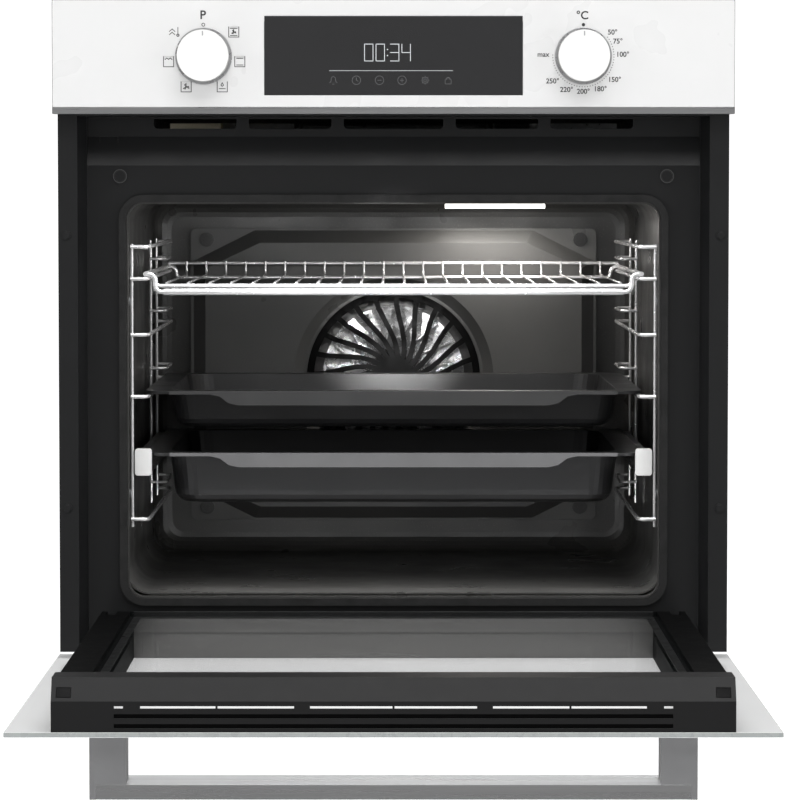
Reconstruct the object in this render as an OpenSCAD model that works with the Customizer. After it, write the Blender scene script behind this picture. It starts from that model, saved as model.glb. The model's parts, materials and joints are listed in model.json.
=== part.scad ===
// Built-in electric oven with a drop-down door, drawn with the door open.
// X is to the right, Y runs into the cabinet, Z is up. The origin is the middle of the
// cabinet's front lower edge: Y = 0 is the back of the flange, Z = 0 the underside of the base.

/* [Overall] */
// Width of the control fascia and of the door glass
panel_w = 594; // [570:1:720]
// Height from the base to the top of the fascia
panel_h = 595; // [585:1:640]
// How far the closed door and the fascia stand in front of the cabinet
panel_t = 22; // [20:0.5:26]
// Width of the housing that enters the cabinet
housing_w = 560; // [556:1:568]
// Height of the housing
housing_h = 577; // [570:1:582]
// Depth of the housing behind the cabinet front
housing_d = 545; // [535:1:660]
// Thickness of the housing's sheet metal
sheet = 1.5; // [1:0.1:2]

/* [Control panel] */
// Height of the white fascia
fascia_h = 93; // [85:1:96]
// Height of the metal trim under the fascia
trim_h = 6; // [3:0.5:8]
// Wall of the fascia
fascia_wall = 2.5; // [2:0.1:3]
// Width of the display glass
display_w = 225; // [120:1:260]
// Height of the display glass
display_h = 69; // [30:1:74]
// Distance of each knob from the middle
knob_x = 165; // [160:1:250]
// Height of the knobs above the fascia's lower edge
knob_z = 44; // [35:1:50]
// Diameter of a knob
knob_d = 44.5; // [36:0.5:54]
// How far a knob stands out of the fascia
knob_out = 20; // [16:0.5:24]
// Travel of a knob when it is pushed in
knob_travel = 18; // [8:0.5:18]
// Diameter of the knob shafts
shaft_d = 6; // [4:0.5:8]

/* [Cavity] */
// Width inside the cavity
cavity_w = 476; // [390:1:480]
// Height inside the cavity
cavity_h = 349; // [330:1:352]
// Depth inside the cavity
cavity_d = 400; // [390:1:415]
// Height of the cavity floor above the base
floor_z = 72; // [70:1:78]
// Radius of the cavity's long edges
corner_r = 22; // [16:1:30]
// Wall of the cavity
liner_t = 1.5; // [1:0.1:2]
// Diameter of the fan grille
grille_d = 171; // [140:1:180]
// Diameter of the heater tubes
heater_d = 6.4; // [5:0.1:8]

/* [Racks] */
// Height of the lowest level above the cavity floor
level_1 = 65; // [50:0.5:70]
// Height of the telescopic rails' underside above the cavity floor
rail_level = 105; // [95:0.5:108]
// Height of the second level above the cavity floor
level_2 = 174.3; // [165:0.1:185]
// Height of the third level above the cavity floor
level_3 = 229.3; // [215:0.1:235]
// Height of the fourth level above the cavity floor
level_4 = 279; // [270:0.1:285]
// Diameter of the rack's upright wires
upright_d = 3; // [2.5:0.1:4]
// Diameter of the rack's runner wires
runner_d = 3.6; // [3:0.1:5]
// Height of the guide wire above its runner
guide_gap = 13; // [11:0.5:15]
// Height of a telescopic rail
rail_h = 16; // [14:0.5:18]

/* [Shelf and trays] */
// Depth of the shelf and the trays
tray_d = 345; // [300:1:350]
// Depth of the baking tray's pan
baking_tray_h = 32; // [15:1:40]
// Depth of the deep tray's pan
deep_tray_h = 45; // [30:1:50]
// Wall of the trays
tray_t = 1.2; // [0.8:0.1:2]
// Number of wires across the shelf
shelf_wires = 22; // [14:1:26]
// Distance from the outermost shelf wire to where the frame bends up
shelf_edge = 3.7; // [3:0.1:10]

/* [Door] */
// Thickness of the door
door_t = 45; // [40:0.5:48]
// Thickness of the outer pane
glass_t = 4; // [3:0.5:5]
// Height of the door's lower edge above the base when it is closed
door_bottom = 3; // [2:0.5:8]
// Gap between the closed door and the trim above it
door_gap = 4; // [3:0.5:6]
// Height of the hinge axis above the base
hinge_z = 33.4; // [33:0.1:36]
// Distance of the hinge axis behind the face of the outer pane
hinge_setback = 20; // [18:0.5:22]
// Width of a side frame of the door
door_side_w = 28; // [26:0.5:34]
// How far the door stands open
door_angle = 90; // [0:1:90]
// Diameter of the hinge pins
pin_d = 6; // [5:0.5:7]

/* [Handle] */
// Length of the handle bar between its end caps
handle_w = 456; // [200:1:550]
// Distance from the pane to the outside of the bar
handle_out = 50; // [40:0.5:60]
// Thickness of the bar
bar_t = 14.5; // [10:0.5:20]
// Height of the bar
bar_h = 30; // [16:1:40]
// Width of a handle post
post_w = 23; // [14:1:30]
// Distance from the door's top edge to the middle of the bar
bar_drop = 30; // [20:1:60]

/* [Hidden] */
$fn = 48;

black_enamel = "#3a3c3e";
steel = "#8d9094";
chrome = "#d8dadc";
dark_plastic = "#232425";
white_gloss = "#f4f4f4";

// clearances
seat_gap = 0.3;   // between a loose piece and what carries it
slide_gap = 0.2;  // round a piece that is clipped into a hole
bore_gap = 0.05;  // radial clearance of a turning shaft
through = 1;      // how far a cutter runs past a face

// door and front frame
front_y = -panel_t;
door_in = front_y + door_t;
hinge_y = front_y + hinge_setback;
door_top = panel_h - fascia_h - trim_h - door_gap;
fascia_z = panel_h - fascia_h;
trim_z = fascia_z - trim_h;
gasket_room = 5;
plate_y = door_in + gasket_room;
frame_bottom = 23;
housing_hw = housing_w / 2;
recess_hw = housing_hw - 2 * sheet;
recess_taper = 6;
plate_hw = recess_hw - recess_taper;
column_hw = panel_w / 2 - 3;
band_low = 451.5;
band_high = 477;
band_y = plate_y + 8;
sill_y = plate_y + 6;
vent_z = [484, trim_z - 3.5];
vent_widths = [73, 73, 88, 73, 73];
vent_rib = 11;
cabinet_hole_d = 5;
cabinet_screw_x = column_hw - 7;
cabinet_screw_z = [150, 390];
bumper_x = 242;
bumper_z = 442;

// cable inlet at the rear
gland_x = -200;
gland_z = 515;
gland_r = 11;
cable_bore_r = 5.5;

// cavity
cavity_hw = cavity_w / 2;
ceiling_z = floor_z + cavity_h;
liner_y = plate_y + sheet;
cavity_y = liner_y + liner_t;
back_y = cavity_y + cavity_d;
lip_inset = 3.5;
lip_hw = cavity_hw - lip_inset;
lip_z = [floor_z - 2.5, ceiling_z - lip_inset];
lip_r = corner_r - 8;
gasket_w = 7;
opening_hw = lip_hw + liner_t + gasket_w;
opening_z = [lip_z[0] - liner_t - gasket_w, lip_z[1] + liner_t + gasket_w];
opening_r = lip_r + liner_t + gasket_w;
flange_extra = 14;
back_fillet = 18;
fan_z = (lip_z[0] + lip_z[1]) / 2 + 2;
recess_hw_grill = cavity_hw - 48;
recess_h = 12;
recess_y = [cavity_y + 25, cavity_y + 300];
stand_r = 7;
screw_x = cavity_hw - 54;
screw_z = [floor_z + 45, ceiling_z - 40];

// insulation
wool_in = 0.3;
wool_t = 16;
wool_z = [floor_z - 28, ceiling_z + recess_h + liner_t + wool_in + wool_t];
wool_pocket_z = [floor_z - 14, ceiling_z + recess_h + liner_t + wool_in];
wool_y = [liner_y + liner_t + 0.3, back_y + liner_t + wool_in + 22];

// baffle
baffle_hw = cavity_hw - 38;
baffle_z = [floor_z + 32, ceiling_z - 29];
baffle_y = back_y - 19;
emboss = 12;
baffle_t = 1.2;
dish_r = grille_d / 2 + 13;
dish_depth = 6;

// convection fan and heaters
fan_blades = 18;
fan_disc_r = 70;
heater_r = heater_d / 2;
ring_r = 92;
ring_y = baffle_y + 5;
ring_lead_x = 14;
ring_lead_z = fan_z + sqrt(ring_r * ring_r - ring_lead_x * ring_lead_x);
grill_lead_x = 40;
grill_z = ceiling_z + 5;
lead_end = wool_y[1] + 14;

// lamp
lamp_x = 98.5;
lamp_y = back_y - 60;
lens_size = [96, 54, 9];
lamp_hole = [84, 42];
lamp_box = [78, 36, 26];

// racks
upright_x = cavity_hw - 5.5;
upright_y = [cavity_y + 6, cavity_y + 270, cavity_y + 365];
runner_x = cavity_hw - 20;
upright_r = upright_d / 2;
runner_r = runner_d / 2;
runner_bend = 7;
levels = [floor_z + level_1, floor_z + level_2, floor_z + level_3, floor_z + level_4];
rack_bottom = floor_z + 58;
rack_top = ceiling_z - 39;
top_wire_z = ceiling_z - 41.5;
socket_z = [floor_z + 88, ceiling_z - 90];
socket_r = 4;

// telescopic rails
rail_z = floor_z + rail_level;
rail_y = [cavity_y + 14, cavity_y + 354];
rail_web = 1.2;
rail_out_x = upright_x - upright_r - seat_gap;
rail_lip = 5.5;
rail_in_x = rail_out_x - 13.4;
cap_size = [14.8, 7, 24];

// shelf and trays
tray_front = cavity_y + 9;
tray_hw = runner_x + 4;
pan_hw = cavity_hw - 38;
pan_r = 24;
rim_t = 2.6;
rim_r = 22;
apron_end_h = 3.4;
apron_h = 13.6;
apron_hw = tray_hw - rim_r - 0.5;
shelf_rod_r = 2.2;
shelf_bar_r = 3;
shelf_wire_r = 1.1;
shelf_rear_r = 1.7;
shelf_rail_x = runner_x + 2;
shelf_rail_z = levels[3] + runner_r + seat_gap + shelf_rod_r;
shelf_drop = 15.8;
shelf_bend = 6;
shelf_flat_hw = runner_x - 2 * shelf_bend;
shelf_pitch = 2 * (shelf_flat_hw - shelf_edge) / (shelf_wires - 1);
shelf_z = shelf_rail_z - shelf_drop;
shelf_step = 5;
shelf_grid_z = shelf_z + shelf_step;

// knobs and controls
knob_r = knob_d / 2;
knob_hole_r = knob_r + 1.75;
bezel_gap = 0.25;
boss_r = shaft_d / 2 + 2;
knob_cz = fascia_z + knob_z;
shaft_tip = front_y - knob_out + fascia_wall + knob_travel + 0.8;
display_low = (2 * panel_h - fascia_h - display_h) / 2 - 2;
display_z = [display_low, display_low + display_h];
bracket_y = 0.3;
bracket_t = 1.5;
switch_y = bracket_y + bracket_t;
switch_d = 36;
switch_room = 15.7;

// door pieces, as the closed door has them
frame_low = hinge_z - 4.4;
frame_hw = recess_hw - 20;
frame_in = frame_hw - door_side_w;
glass_back = front_y + glass_t;
trim_low = door_top - 42;
trim_chamfer = [17.3, 10];
trim_hw = frame_hw + 4;
trim_t = 2.5;
slot_hw = 213;
inner_t = 4;
middle_y = 2;
arm_x = 248;
arm_t = 4;
arm_r = 7;
arm_end = 72;
channel_w = 13;
channel_t = 2;
arm_slot = 8.4;
bar_z = door_top - bar_drop;
bar_y = front_y - handle_out;

// cooling fan
duct_z = [wool_z[1] + 4, trim_z];
duct_hw = 214;
duct_back = 290;
wheel_r = 30;
wheel_w = 180;
wheel_y = duct_back + 40;
wheel_z = duct_z[0] + 40;
shaft_r = 4;

// ---------- helpers ----------

// a box between two corners
module block(x, y, z) {
    translate([x[0], y[0], z[0]]) cube([x[1] - x[0], y[1] - y[0], z[1] - z[0]]);
}

// extrudes an outline drawn in X and Z along Y
module along_y(y) {
    translate([0, y[1], 0]) rotate([90, 0, 0]) linear_extrude(y[1] - y[0]) children();
}

// extrudes an outline drawn in Y and Z along X
module along_x(x) {
    translate([x[0], 0, 0]) rotate([90, 0, 90]) linear_extrude(x[1] - x[0]) children();
}

// extrudes an outline drawn in X and Y along Z
module along_z(z) {
    translate([0, 0, z[0]]) linear_extrude(z[1] - z[0]) children();
}

// a rounded rectangle, centred in width, between two heights
module rounded(half, z, r) {
    translate([-half + r, z[0]]) square([2 * (half - r), z[1] - z[0]]);
    translate([-half, z[0] + r]) square([2 * half, z[1] - z[0] - 2 * r]);
    for (x = [-half + r, half - r], h = [z[0] + r, z[1] - r]) translate([x, h]) circle(r = r);
}

module both_sides() {
    for (side = [0, 1]) mirror([side, 0, 0]) children();
}

// draws children on the right for side 1 and on the left for side -1
module on_side(side) {
    mirror([side < 0 ? 1 : 0, 0, 0]) children();
}

module rod_x(x, y, z, r) {
    translate([x[0], y, z]) rotate([0, 90, 0]) cylinder(h = x[1] - x[0], r = r);
}

module rod_y(x, y, z, r) {
    translate([x, y[1], z]) rotate([90, 0, 0]) cylinder(h = y[1] - y[0], r = r);
}

module rod_z(x, y, z, r) {
    translate([x, y, z[0]]) cylinder(h = z[1] - z[0], r = r);
}

// an arc of wire about a centre: turn places its plane, start and sweep are angles in it
module wire_arc(centre, turn, start, sweep, bend, r) {
    translate(centre) rotate(turn) rotate([0, 0, start])
        rotate_extrude(angle = sweep) translate([bend, 0]) circle(r = r);
}

// turns a piece of the closed door about the hinge axis to where the door stands
module on_door() {
    translate([0, hinge_y, hinge_z]) rotate([door_angle, 0, 0])
        translate([0, -hinge_y, -hinge_z]) children();
}

// a rounded rectangle drawn flat, for pans: half width, front, back, radius
module flat_rounded(half, y, r) {
    translate([-half + r, y[0]]) square([2 * (half - r), y[1] - y[0]]);
    translate([-half, y[0] + r]) square([2 * half, y[1] - y[0] - 2 * r]);
    for (x = [-half + r, half - r], d = [y[0] + r, y[1] - r]) translate([x, d]) circle(r = r, $fn = 32);
}

// ---------- frame and housing ----------

// the sheet's section from its lower edge to the top of the vent band
module frame_section() {
    polygon([
        [plate_y, frame_bottom], [plate_y, band_low], [band_y, band_high], [band_y, trim_z - sheet],
        [band_y + sheet, trim_z - sheet], [band_y + sheet, band_high - 0.3],
        [plate_y + sheet, band_low - 0.3], [plate_y + sheet, frame_bottom + sheet],
        [sill_y + sheet, frame_bottom + sheet], [sill_y + sheet, frame_bottom]
    ]);
}

module vent_slot(x, w) {
    r = 3.5;
    along_y([band_y - through, band_y + sheet + through]) {
        translate([x - w / 2, vent_z[0] + r]) square([w, vent_z[1] - vent_z[0] - r]);
        translate([x - w / 2 + r, vent_z[0]]) square([w - 2 * r, 2 * r]);
        for (s = [-1, 1]) translate([x + s * (w / 2 - r), vent_z[0] + r]) circle(r = r);
    }
}

// middle of each vent slot, from the running sum of widths and ribs
function vent_left(i) = i == 0 ? 0 : vent_left(i - 1) + vent_widths[i - 1] + vent_rib;
vent_total = vent_left(4) + vent_widths[4];

module front_frame() color(black_enamel) difference() {
    union() {
        along_x([-plate_hw, plate_hw]) frame_section();
        both_sides() along_z([frame_bottom, trim_z - sheet]) polygon([
            [column_hw, -sheet], [recess_hw, -sheet], [plate_hw, plate_y], [plate_hw, band_y + sheet],
            [plate_hw + sheet, band_y + sheet], [plate_hw + sheet, plate_y + sheet],
            [recess_hw + sheet, 0], [column_hw, 0]
        ]);
        block([-column_hw, column_hw], [-sheet, 0], [trim_z - sheet, trim_z]);
        block([-recess_hw, recess_hw], [0, band_y + sheet], [trim_z - sheet, trim_z]);
        both_sides() rod_y(bumper_x, [plate_y - 2, plate_y + 0.5], bumper_z, 5.75);
    }
    along_y([plate_y - through, plate_y + sheet + 0.5]) rounded(opening_hw, opening_z, opening_r);
    for (i = [0 : 4])
        vent_slot(vent_left(i) + vent_widths[i] / 2 - vent_total / 2, vent_widths[i]);
    both_sides() block([arm_x - arm_t, arm_x + arm_t], [plate_y - through, plate_y + sheet + 0.5],
                       [hinge_z - 6.5, hinge_z + 6.5]);
    for (z = cabinet_screw_z) both_sides()
        rod_y(cabinet_screw_x, [-sheet - through, through], z, cabinet_hole_d / 2);
}

module base_plate() color(steel) difference() {
    union() {
        block([-housing_hw, housing_hw], [sill_y, housing_d - sheet], [0, sheet]);
        block([-plate_hw, plate_hw], [sill_y, sill_y + sheet], [0, frame_bottom]);
        both_sides() block([arm_x - 40, arm_x - 38.5], [sill_y + 12, housing_d - 30], [0, 24]);
    }
    for (x = [-150 : 50 : 150])
        block([x - 3, x + 3], [200, 330], [-through, sheet + through]);
}

module side_panel(side) color(steel) on_side(side) difference() {
    block([housing_hw - sheet, housing_hw], [0, housing_d - sheet], [sheet, housing_h]);
    block([housing_hw - 2 * sheet, housing_hw + through], [-through, sill_y],
          [0, frame_bottom]);
    for (y = [430 : 14 : 500])
        block([housing_hw - 2 * sheet, housing_hw + through], [y, y + 5], [430, 540]);
}

module side_panel_left() side_panel(-1);
module side_panel_right() side_panel(1);

module top_cover() color(steel) difference() {
    block([-housing_hw + sheet, housing_hw - sheet], [sheet, housing_d - sheet],
          [housing_h - sheet, housing_h]);
    for (x = [-220 : 40 : 220], y = [420, 470])
        block([x - 14, x + 14], [y, y + 5], [housing_h - 2 * sheet, housing_h + through]);
}

module rear_cover() color(steel) difference() {
    block([-housing_hw, housing_hw], [housing_d - sheet, housing_d], [0, housing_h]);
    for (x = [-120, 0, 120], z = [150 : 16 : 350])
        block([x - 38, x + 38], [housing_d - 2 * sheet, housing_d + through], [z, z + 5]);
    rod_y(gland_x, [housing_d - 2 * sheet, housing_d + through], gland_z, gland_r + slide_gap);
}

// ---------- cavity ----------

// the rear end of the cavity's room, rounded towards the back wall
module cavity_room() {
    hull() for (a = [0 : 15 : 90]) {
        inset = back_fillet * (1 - cos(a));
        depth = back_fillet * (1 - sin(a));
        along_y([back_y - depth - 0.01, back_y - depth])
            rounded(cavity_hw - inset, [floor_z + inset, ceiling_z - inset], corner_r - inset / 2, $fn = 32);
    }
}

module cavity_liner() color("#4a4a48") difference() {
    union() {
        along_y([cavity_y, back_y + liner_t])
            rounded(cavity_hw + liner_t, [floor_z - liner_t, ceiling_z + liner_t], corner_r + liner_t);
        along_y([liner_y, cavity_y]) rounded(opening_hw + flange_extra,
            [opening_z[0] - flange_extra, opening_z[1] + flange_extra], opening_r + flange_extra);
        along_y([plate_y - 2, liner_y + 0.5]) rounded(lip_hw + liner_t,
            [lip_z[0] - liner_t, lip_z[1] + liner_t], lip_r + liner_t);
        block([-recess_hw_grill - liner_t, recess_hw_grill + liner_t],
              [recess_y[0] - liner_t, recess_y[1] + liner_t],
              [ceiling_z, ceiling_z + recess_h + liner_t]);
    }
    along_y([plate_y - 3, cavity_y]) rounded(lip_hw, lip_z, lip_r);
    difference() {
        union() {
            along_y([cavity_y, back_y - back_fillet])
                rounded(cavity_hw, [floor_z, ceiling_z], corner_r);
            cavity_room();
        }
        for (x = [-screw_x, screw_x], z = screw_z)
            rod_y(x, [baffle_y + baffle_t, back_y + 0.5], z, stand_r);
    }
    block([-recess_hw_grill, recess_hw_grill], recess_y, [ceiling_z - through, ceiling_z + recess_h]);
    block([lamp_x - lamp_hole[0] / 2, lamp_x + lamp_hole[0] / 2],
          [lamp_y - lamp_hole[1] / 2, lamp_y + lamp_hole[1] / 2],
          [ceiling_z - through, ceiling_z + liner_t + through]);
    rod_y(0, [back_y - through, back_y + liner_t + through], fan_z, shaft_r + 2);
    both_sides() {
        rod_y(ring_lead_x, [back_y - through, back_y + liner_t + through], ring_lead_z, heater_r + slide_gap);
        rod_y(grill_lead_x, [recess_y[1] - through, recess_y[1] + liner_t + through],
              grill_z, heater_r + slide_gap);
    }
}

module door_gasket() color("#141414") difference() {
    along_y([door_in + 0.4, liner_y]) rounded(opening_hw - slide_gap,
        [opening_z[0] + slide_gap, opening_z[1] - slide_gap], opening_r - slide_gap);
    along_y([door_in - through, liner_y + through]) rounded(lip_hw + liner_t + slide_gap,
        [lip_z[0] - liner_t - slide_gap, lip_z[1] + liner_t + slide_gap], lip_r + liner_t + slide_gap);
}

module insulation_blanket() color("#c9c2a8") difference() {
    half = cavity_hw + liner_t + wool_in;
    block([-half - wool_t, half + wool_t], wool_y, wool_z);
    block([-half, half], [wool_y[0] - through, back_y + liner_t + wool_in], wool_pocket_z);
    rod_y(0, [back_y, wool_y[1] + through], fan_z, shaft_r + 4);
    both_sides() {
        rod_y(ring_lead_x, [back_y, wool_y[1] + through], ring_lead_z, heater_r + seat_gap);
        rod_y(grill_lead_x, [back_y, wool_y[1] + through], grill_z, heater_r + seat_gap);
    }
    block([lamp_x - lamp_box[0] / 2 - seat_gap, lamp_x + lamp_box[0] / 2 + seat_gap],
          [lamp_y - lamp_box[1] / 2 - seat_gap, lamp_y + lamp_box[1] / 2 + seat_gap],
          [ceiling_z, wool_z[1] + through]);
}

// ---------- baffle, fan and heaters ----------

// the outline of the pressing: corners cut off, set in by a margin
module pressing_outline(inset) {
    half = baffle_hw - 3 - inset;
    z = [baffle_z[0] + 2 + inset, baffle_z[1] - 2 - inset];
    cut = [60 - 0.5 * inset, 30 - 0.4 * inset];
    polygon([
        [-half + cut[0], z[0]], [half - cut[0], z[0]], [half, z[0] + cut[1]], [half, z[1] - cut[1]],
        [half - cut[0], z[1]], [-half + cut[0], z[1]], [-half, z[1] - cut[1]], [-half, z[0] + cut[1]]
    ]);
}

module pressing(shift, shrink) {
    hull() {
        along_y([baffle_y + shift, baffle_y + shift + 0.01]) pressing_outline(shrink);
        along_y([baffle_y - emboss + shift, baffle_y - emboss + shift + 0.01])
            pressing_outline(12 + shrink);
    }
}

module back_baffle() color("#4a4a48") {
    difference() {
        union() {
            along_y([baffle_y, baffle_y + baffle_t]) rounded(baffle_hw, baffle_z, 6);
            pressing(0, 0);
        }
        pressing(baffle_t + 0.01, baffle_t);
        rod_y(0, [baffle_y - emboss - through, baffle_y + 3 * baffle_t], fan_z, dish_r - 0.3);
        for (x = [-screw_x, screw_x], z = screw_z)
            rod_y(x, [baffle_y - through, baffle_y + baffle_t + through], z, 2.6);
    }
    // the dish round the grille
    face = baffle_y - emboss;
    translate([0, 0, fan_z]) rotate([-90, 0, 0]) rotate_extrude() polygon([
        [dish_r, face], [dish_r - 10, face + dish_depth], [grille_d / 2, face + dish_depth],
        [grille_d / 2, face + dish_depth + baffle_t], [dish_r - 9.5, face + dish_depth + baffle_t],
        [dish_r, face + baffle_t]
    ]);
}

// one swirled bar of the grille between its hub and its ring
module grille_bar(r1, r2, swirl, w) {
    steps = 6;
    function at(i, side) = let (r = r1 + (r2 - r1) * i / steps, a = swirl * sin(90 * i / steps))
        [r * cos(a) - side * w / 2 * sin(a), r * sin(a) + side * w / 2 * cos(a)];
    polygon(concat([for (i = [0 : steps]) at(i, -1)], [for (i = [steps : -1 : 0]) at(i, 1)]));
}

module fan_grille() color("#565654") {
    r = grille_d / 2 - slide_gap;
    y = baffle_y - emboss + dish_depth;
    translate([0, 0, fan_z]) along_y([y - 1, y + baffle_t]) {
        difference() {
            circle(r = r);
            circle(r = r - 7);
        }
        circle(r = 17.5);
        for (a = [0 : 15 : 345]) rotate(a) grille_bar(16.5, r - 6, 28, 5.2);
    }
}

module baffle_screws() color(steel) for (x = [-screw_x, screw_x], z = screw_z) difference() {
    rod_y(x, [baffle_y - 3, baffle_y], z, 7);
    rod_y(x, [baffle_y - 4, baffle_y - 1.4], z, 2.2);
}

module fan_motor() color("#6a6d70") difference() {
    union() {
        block([-60, 60], [wool_y[1], wool_y[1] + 2], [fan_z - 45, fan_z + 45]);
        rod_y(0, [wool_y[1] + 2, wool_y[1] + 45], fan_z, 32);
        block([-38, 38], [wool_y[1] + 12, wool_y[1] + 30], [fan_z - 40, fan_z + 40]);
    }
    rod_y(0, [wool_y[1] - through, wool_y[1] + 38], fan_z, shaft_r + bore_gap);
}

module convection_fan() color("#77797b") {
    y = back_y - 6;
    rod_y(0, [y, y + 1.2], fan_z, fan_disc_r);
    rod_y(0, [y - 10, y + 1.2], fan_z, 9);
    rod_y(0, [y - 12, wool_y[1] + 36], fan_z, shaft_r);
    translate([0, 0, fan_z]) for (i = [0 : fan_blades - 1]) rotate([0, i * 360 / fan_blades, 0])
        translate([38, 0, 0]) rotate([0, 20, 0]) block([0, 30], [y - 14, y + 0.5], [-0.6, 0.6]);
}

module ring_heater() color("#5d5a56") {
    gap = asin(ring_lead_x / ring_r);
    translate([0, ring_y, fan_z]) rotate([90, 0, 0]) rotate([0, 0, 90 + gap])
        rotate_extrude(angle = 360 - 2 * gap) translate([ring_r, 0]) circle(r = heater_r);
    both_sides() rod_y(ring_lead_x, [ring_y - heater_r, lead_end], ring_lead_z, heater_r - 0.1);
}

// a flat serpentine of heater tube made of straight runs and half-circle turns
module serpentine(runs, pitch, y, z, r) {
    for (i = [0 : runs - 1]) rod_y((i - (runs - 1) / 2) * pitch, y, z, r);
    for (i = [0 : runs - 2]) {
        front = i % 2 == 0;
        translate([(i - (runs - 2) / 2) * pitch, front ? y[0] : y[1], z])
            rotate([0, 0, front ? 180 : 0]) rotate_extrude(angle = 180)
                translate([pitch / 2, 0]) circle(r = r);
    }
}

module grill_heater() color("#5d5a56") {
    // the outermost runs carry on through the back of the recess
    inner = [recess_y[0] + 48, recess_y[1] - 60];
    cross = inner[1] + 40;
    serpentine(8, 40, inner, grill_z, heater_r);
    both_sides() {
        rod_x([grill_lead_x, 140], cross, grill_z, heater_r - 0.15);
        rod_y(140, [inner[1] - 1, cross + heater_r - 0.2], grill_z, heater_r - 0.1);
        rod_y(grill_lead_x, [cross - heater_r + 0.2, lead_end], grill_z, heater_r - 0.1);
    }
}

module bottom_heater() color("#5d5a56") {
    z = floor_z - liner_t - seat_gap - heater_r;
    serpentine(6, 60, [cavity_y + 60, back_y - 60], z, heater_r);
}

// ---------- lamp ----------

module lamp_housing() color(steel) difference() {
    union() {
        block([lamp_x - lamp_box[0] / 2, lamp_x + lamp_box[0] / 2],
              [lamp_y - lamp_box[1] / 2, lamp_y + lamp_box[1] / 2],
              [ceiling_z, ceiling_z + lamp_box[2]]);
        block([lamp_x - lamp_hole[0] / 2 - 5, lamp_x + lamp_hole[0] / 2 + 5],
              [lamp_y - lamp_hole[1] / 2 - 5, lamp_y + lamp_hole[1] / 2 + 5],
              [ceiling_z + liner_t, ceiling_z + liner_t + 1]);
    }
    block([lamp_x - lamp_box[0] / 2 + 1.2, lamp_x + lamp_box[0] / 2 - 1.2],
          [lamp_y - lamp_box[1] / 2 + 1.2, lamp_y + lamp_box[1] / 2 - 1.2],
          [ceiling_z - through, ceiling_z + lamp_box[2] - 1.2]);
}

module lamp_bulb() color("#fff3d0") {
    rod_x([lamp_x - lamp_box[0] / 2 + 1.2, lamp_x - 12], lamp_y, ceiling_z + 12, 8);
    rod_x([lamp_x - 12, lamp_x + 14], lamp_y, ceiling_z + 12, 6);
}

module lamp_lens() color("#f5f2e8") difference() {
    block([lamp_x - lens_size[0] / 2, lamp_x + lens_size[0] / 2],
          [lamp_y - lens_size[1] / 2, lamp_y + lens_size[1] / 2], [ceiling_z - lens_size[2], ceiling_z]);
    block([lamp_x - lens_size[0] / 2 + 3, lamp_x + lens_size[0] / 2 - 3],
          [lamp_y - lens_size[1] / 2 + 3, lamp_y + lens_size[1] / 2 - 3],
          [ceiling_z - lens_size[2] + 3, ceiling_z + through]);
}

// ---------- racks ----------

// a wire from one upright inwards, along the cavity and back out to the rear upright
module runner(z, y, r) {
    straight = [y[0] + runner_bend, y[1] - runner_bend];
    rod_y(runner_x, straight, z, r);
    wire_arc([runner_x + runner_bend, straight[0], z], [0, 0, 0], 180, 90, runner_bend, r);
    wire_arc([runner_x + runner_bend, straight[1], z], [0, 0, 0], 90, 90, runner_bend, r);
    for (end = y) rod_x([runner_x + runner_bend, upright_x + 1], end, z, r);
}

module side_rack(side) color(chrome) on_side(side) {
    for (y = [upright_y[0] + runner_r + upright_r - 0.6, upright_y[2] - runner_r - upright_r + 0.6])
        rod_z(upright_x, y, [rack_bottom, rack_top], upright_r);
    rod_z(upright_x, upright_y[1] + runner_r + upright_r - 0.6, [rack_bottom, rack_top], upright_r);
    for (z = levels) runner(z, [upright_y[0], upright_y[2]], runner_r);
    runner(top_wire_z, [upright_y[0], upright_y[2]], runner_r);
    for (z = levels) runner(z + guide_gap, [upright_y[1], upright_y[2]], runner_r - 0.3);
}

module side_rack_left() side_rack(-1);
module side_rack_right() side_rack(1);

module rack_sockets() color(steel) both_sides() for (y = [0, 1], z = socket_z)
    rod_x([upright_x + upright_r + seat_gap, cavity_hw],
          y == 0 ? upright_y[0] + runner_r + upright_r : upright_y[2] - runner_r - upright_r,
          z, socket_r);

// ---------- telescopic rails ----------

// the section of a channel that opens along +X or, mirrored, along -X
module channel_section(x, depth, open) {
    polygon([
        [x, rail_z], [x + open * depth, rail_z], [x + open * depth, rail_z + rail_web],
        [x + open * rail_web, rail_z + rail_web], [x + open * rail_web, rail_z + rail_h - rail_web],
        [x + open * depth, rail_z + rail_h - rail_web], [x + open * depth, rail_z + rail_h],
        [x, rail_z + rail_h]
    ]);
}

module outer_rails() color(steel) both_sides()
    along_y(rail_y) channel_section(rail_out_x, rail_lip, -1);

module middle_rails() color(steel) both_sides() {
    head = [rail_z + rail_web + seat_gap, rail_z + rail_h - rail_web - seat_gap];
    middle = rail_z + rail_h / 2;
    y = [rail_y[0] + 2, rail_y[1] - 2];
    block([rail_out_x - rail_web - 4, rail_out_x - rail_web - seat_gap], y, head);
    block([rail_in_x + rail_web + seat_gap, rail_in_x + rail_web + 4], y, head);
    block([rail_in_x + rail_web + 3, rail_out_x - rail_web - 3], y, [middle - 1.5, middle + 1.5]);
}

module inner_rails() color(chrome) both_sides()
    along_y([rail_y[0] - 1, rail_y[1]]) channel_section(rail_in_x, rail_lip, 1);

module rail_caps() color(white_gloss) both_sides()
    along_y([rail_y[0] - 1 - cap_size[1], rail_y[0] - 1])
        translate([rail_in_x - 2 + cap_size[0] / 2, 0])
            rounded(cap_size[0] / 2, [rail_z - 1, rail_z - 1 + cap_size[2]], 2.5);

// ---------- wire shelf ----------

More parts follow.
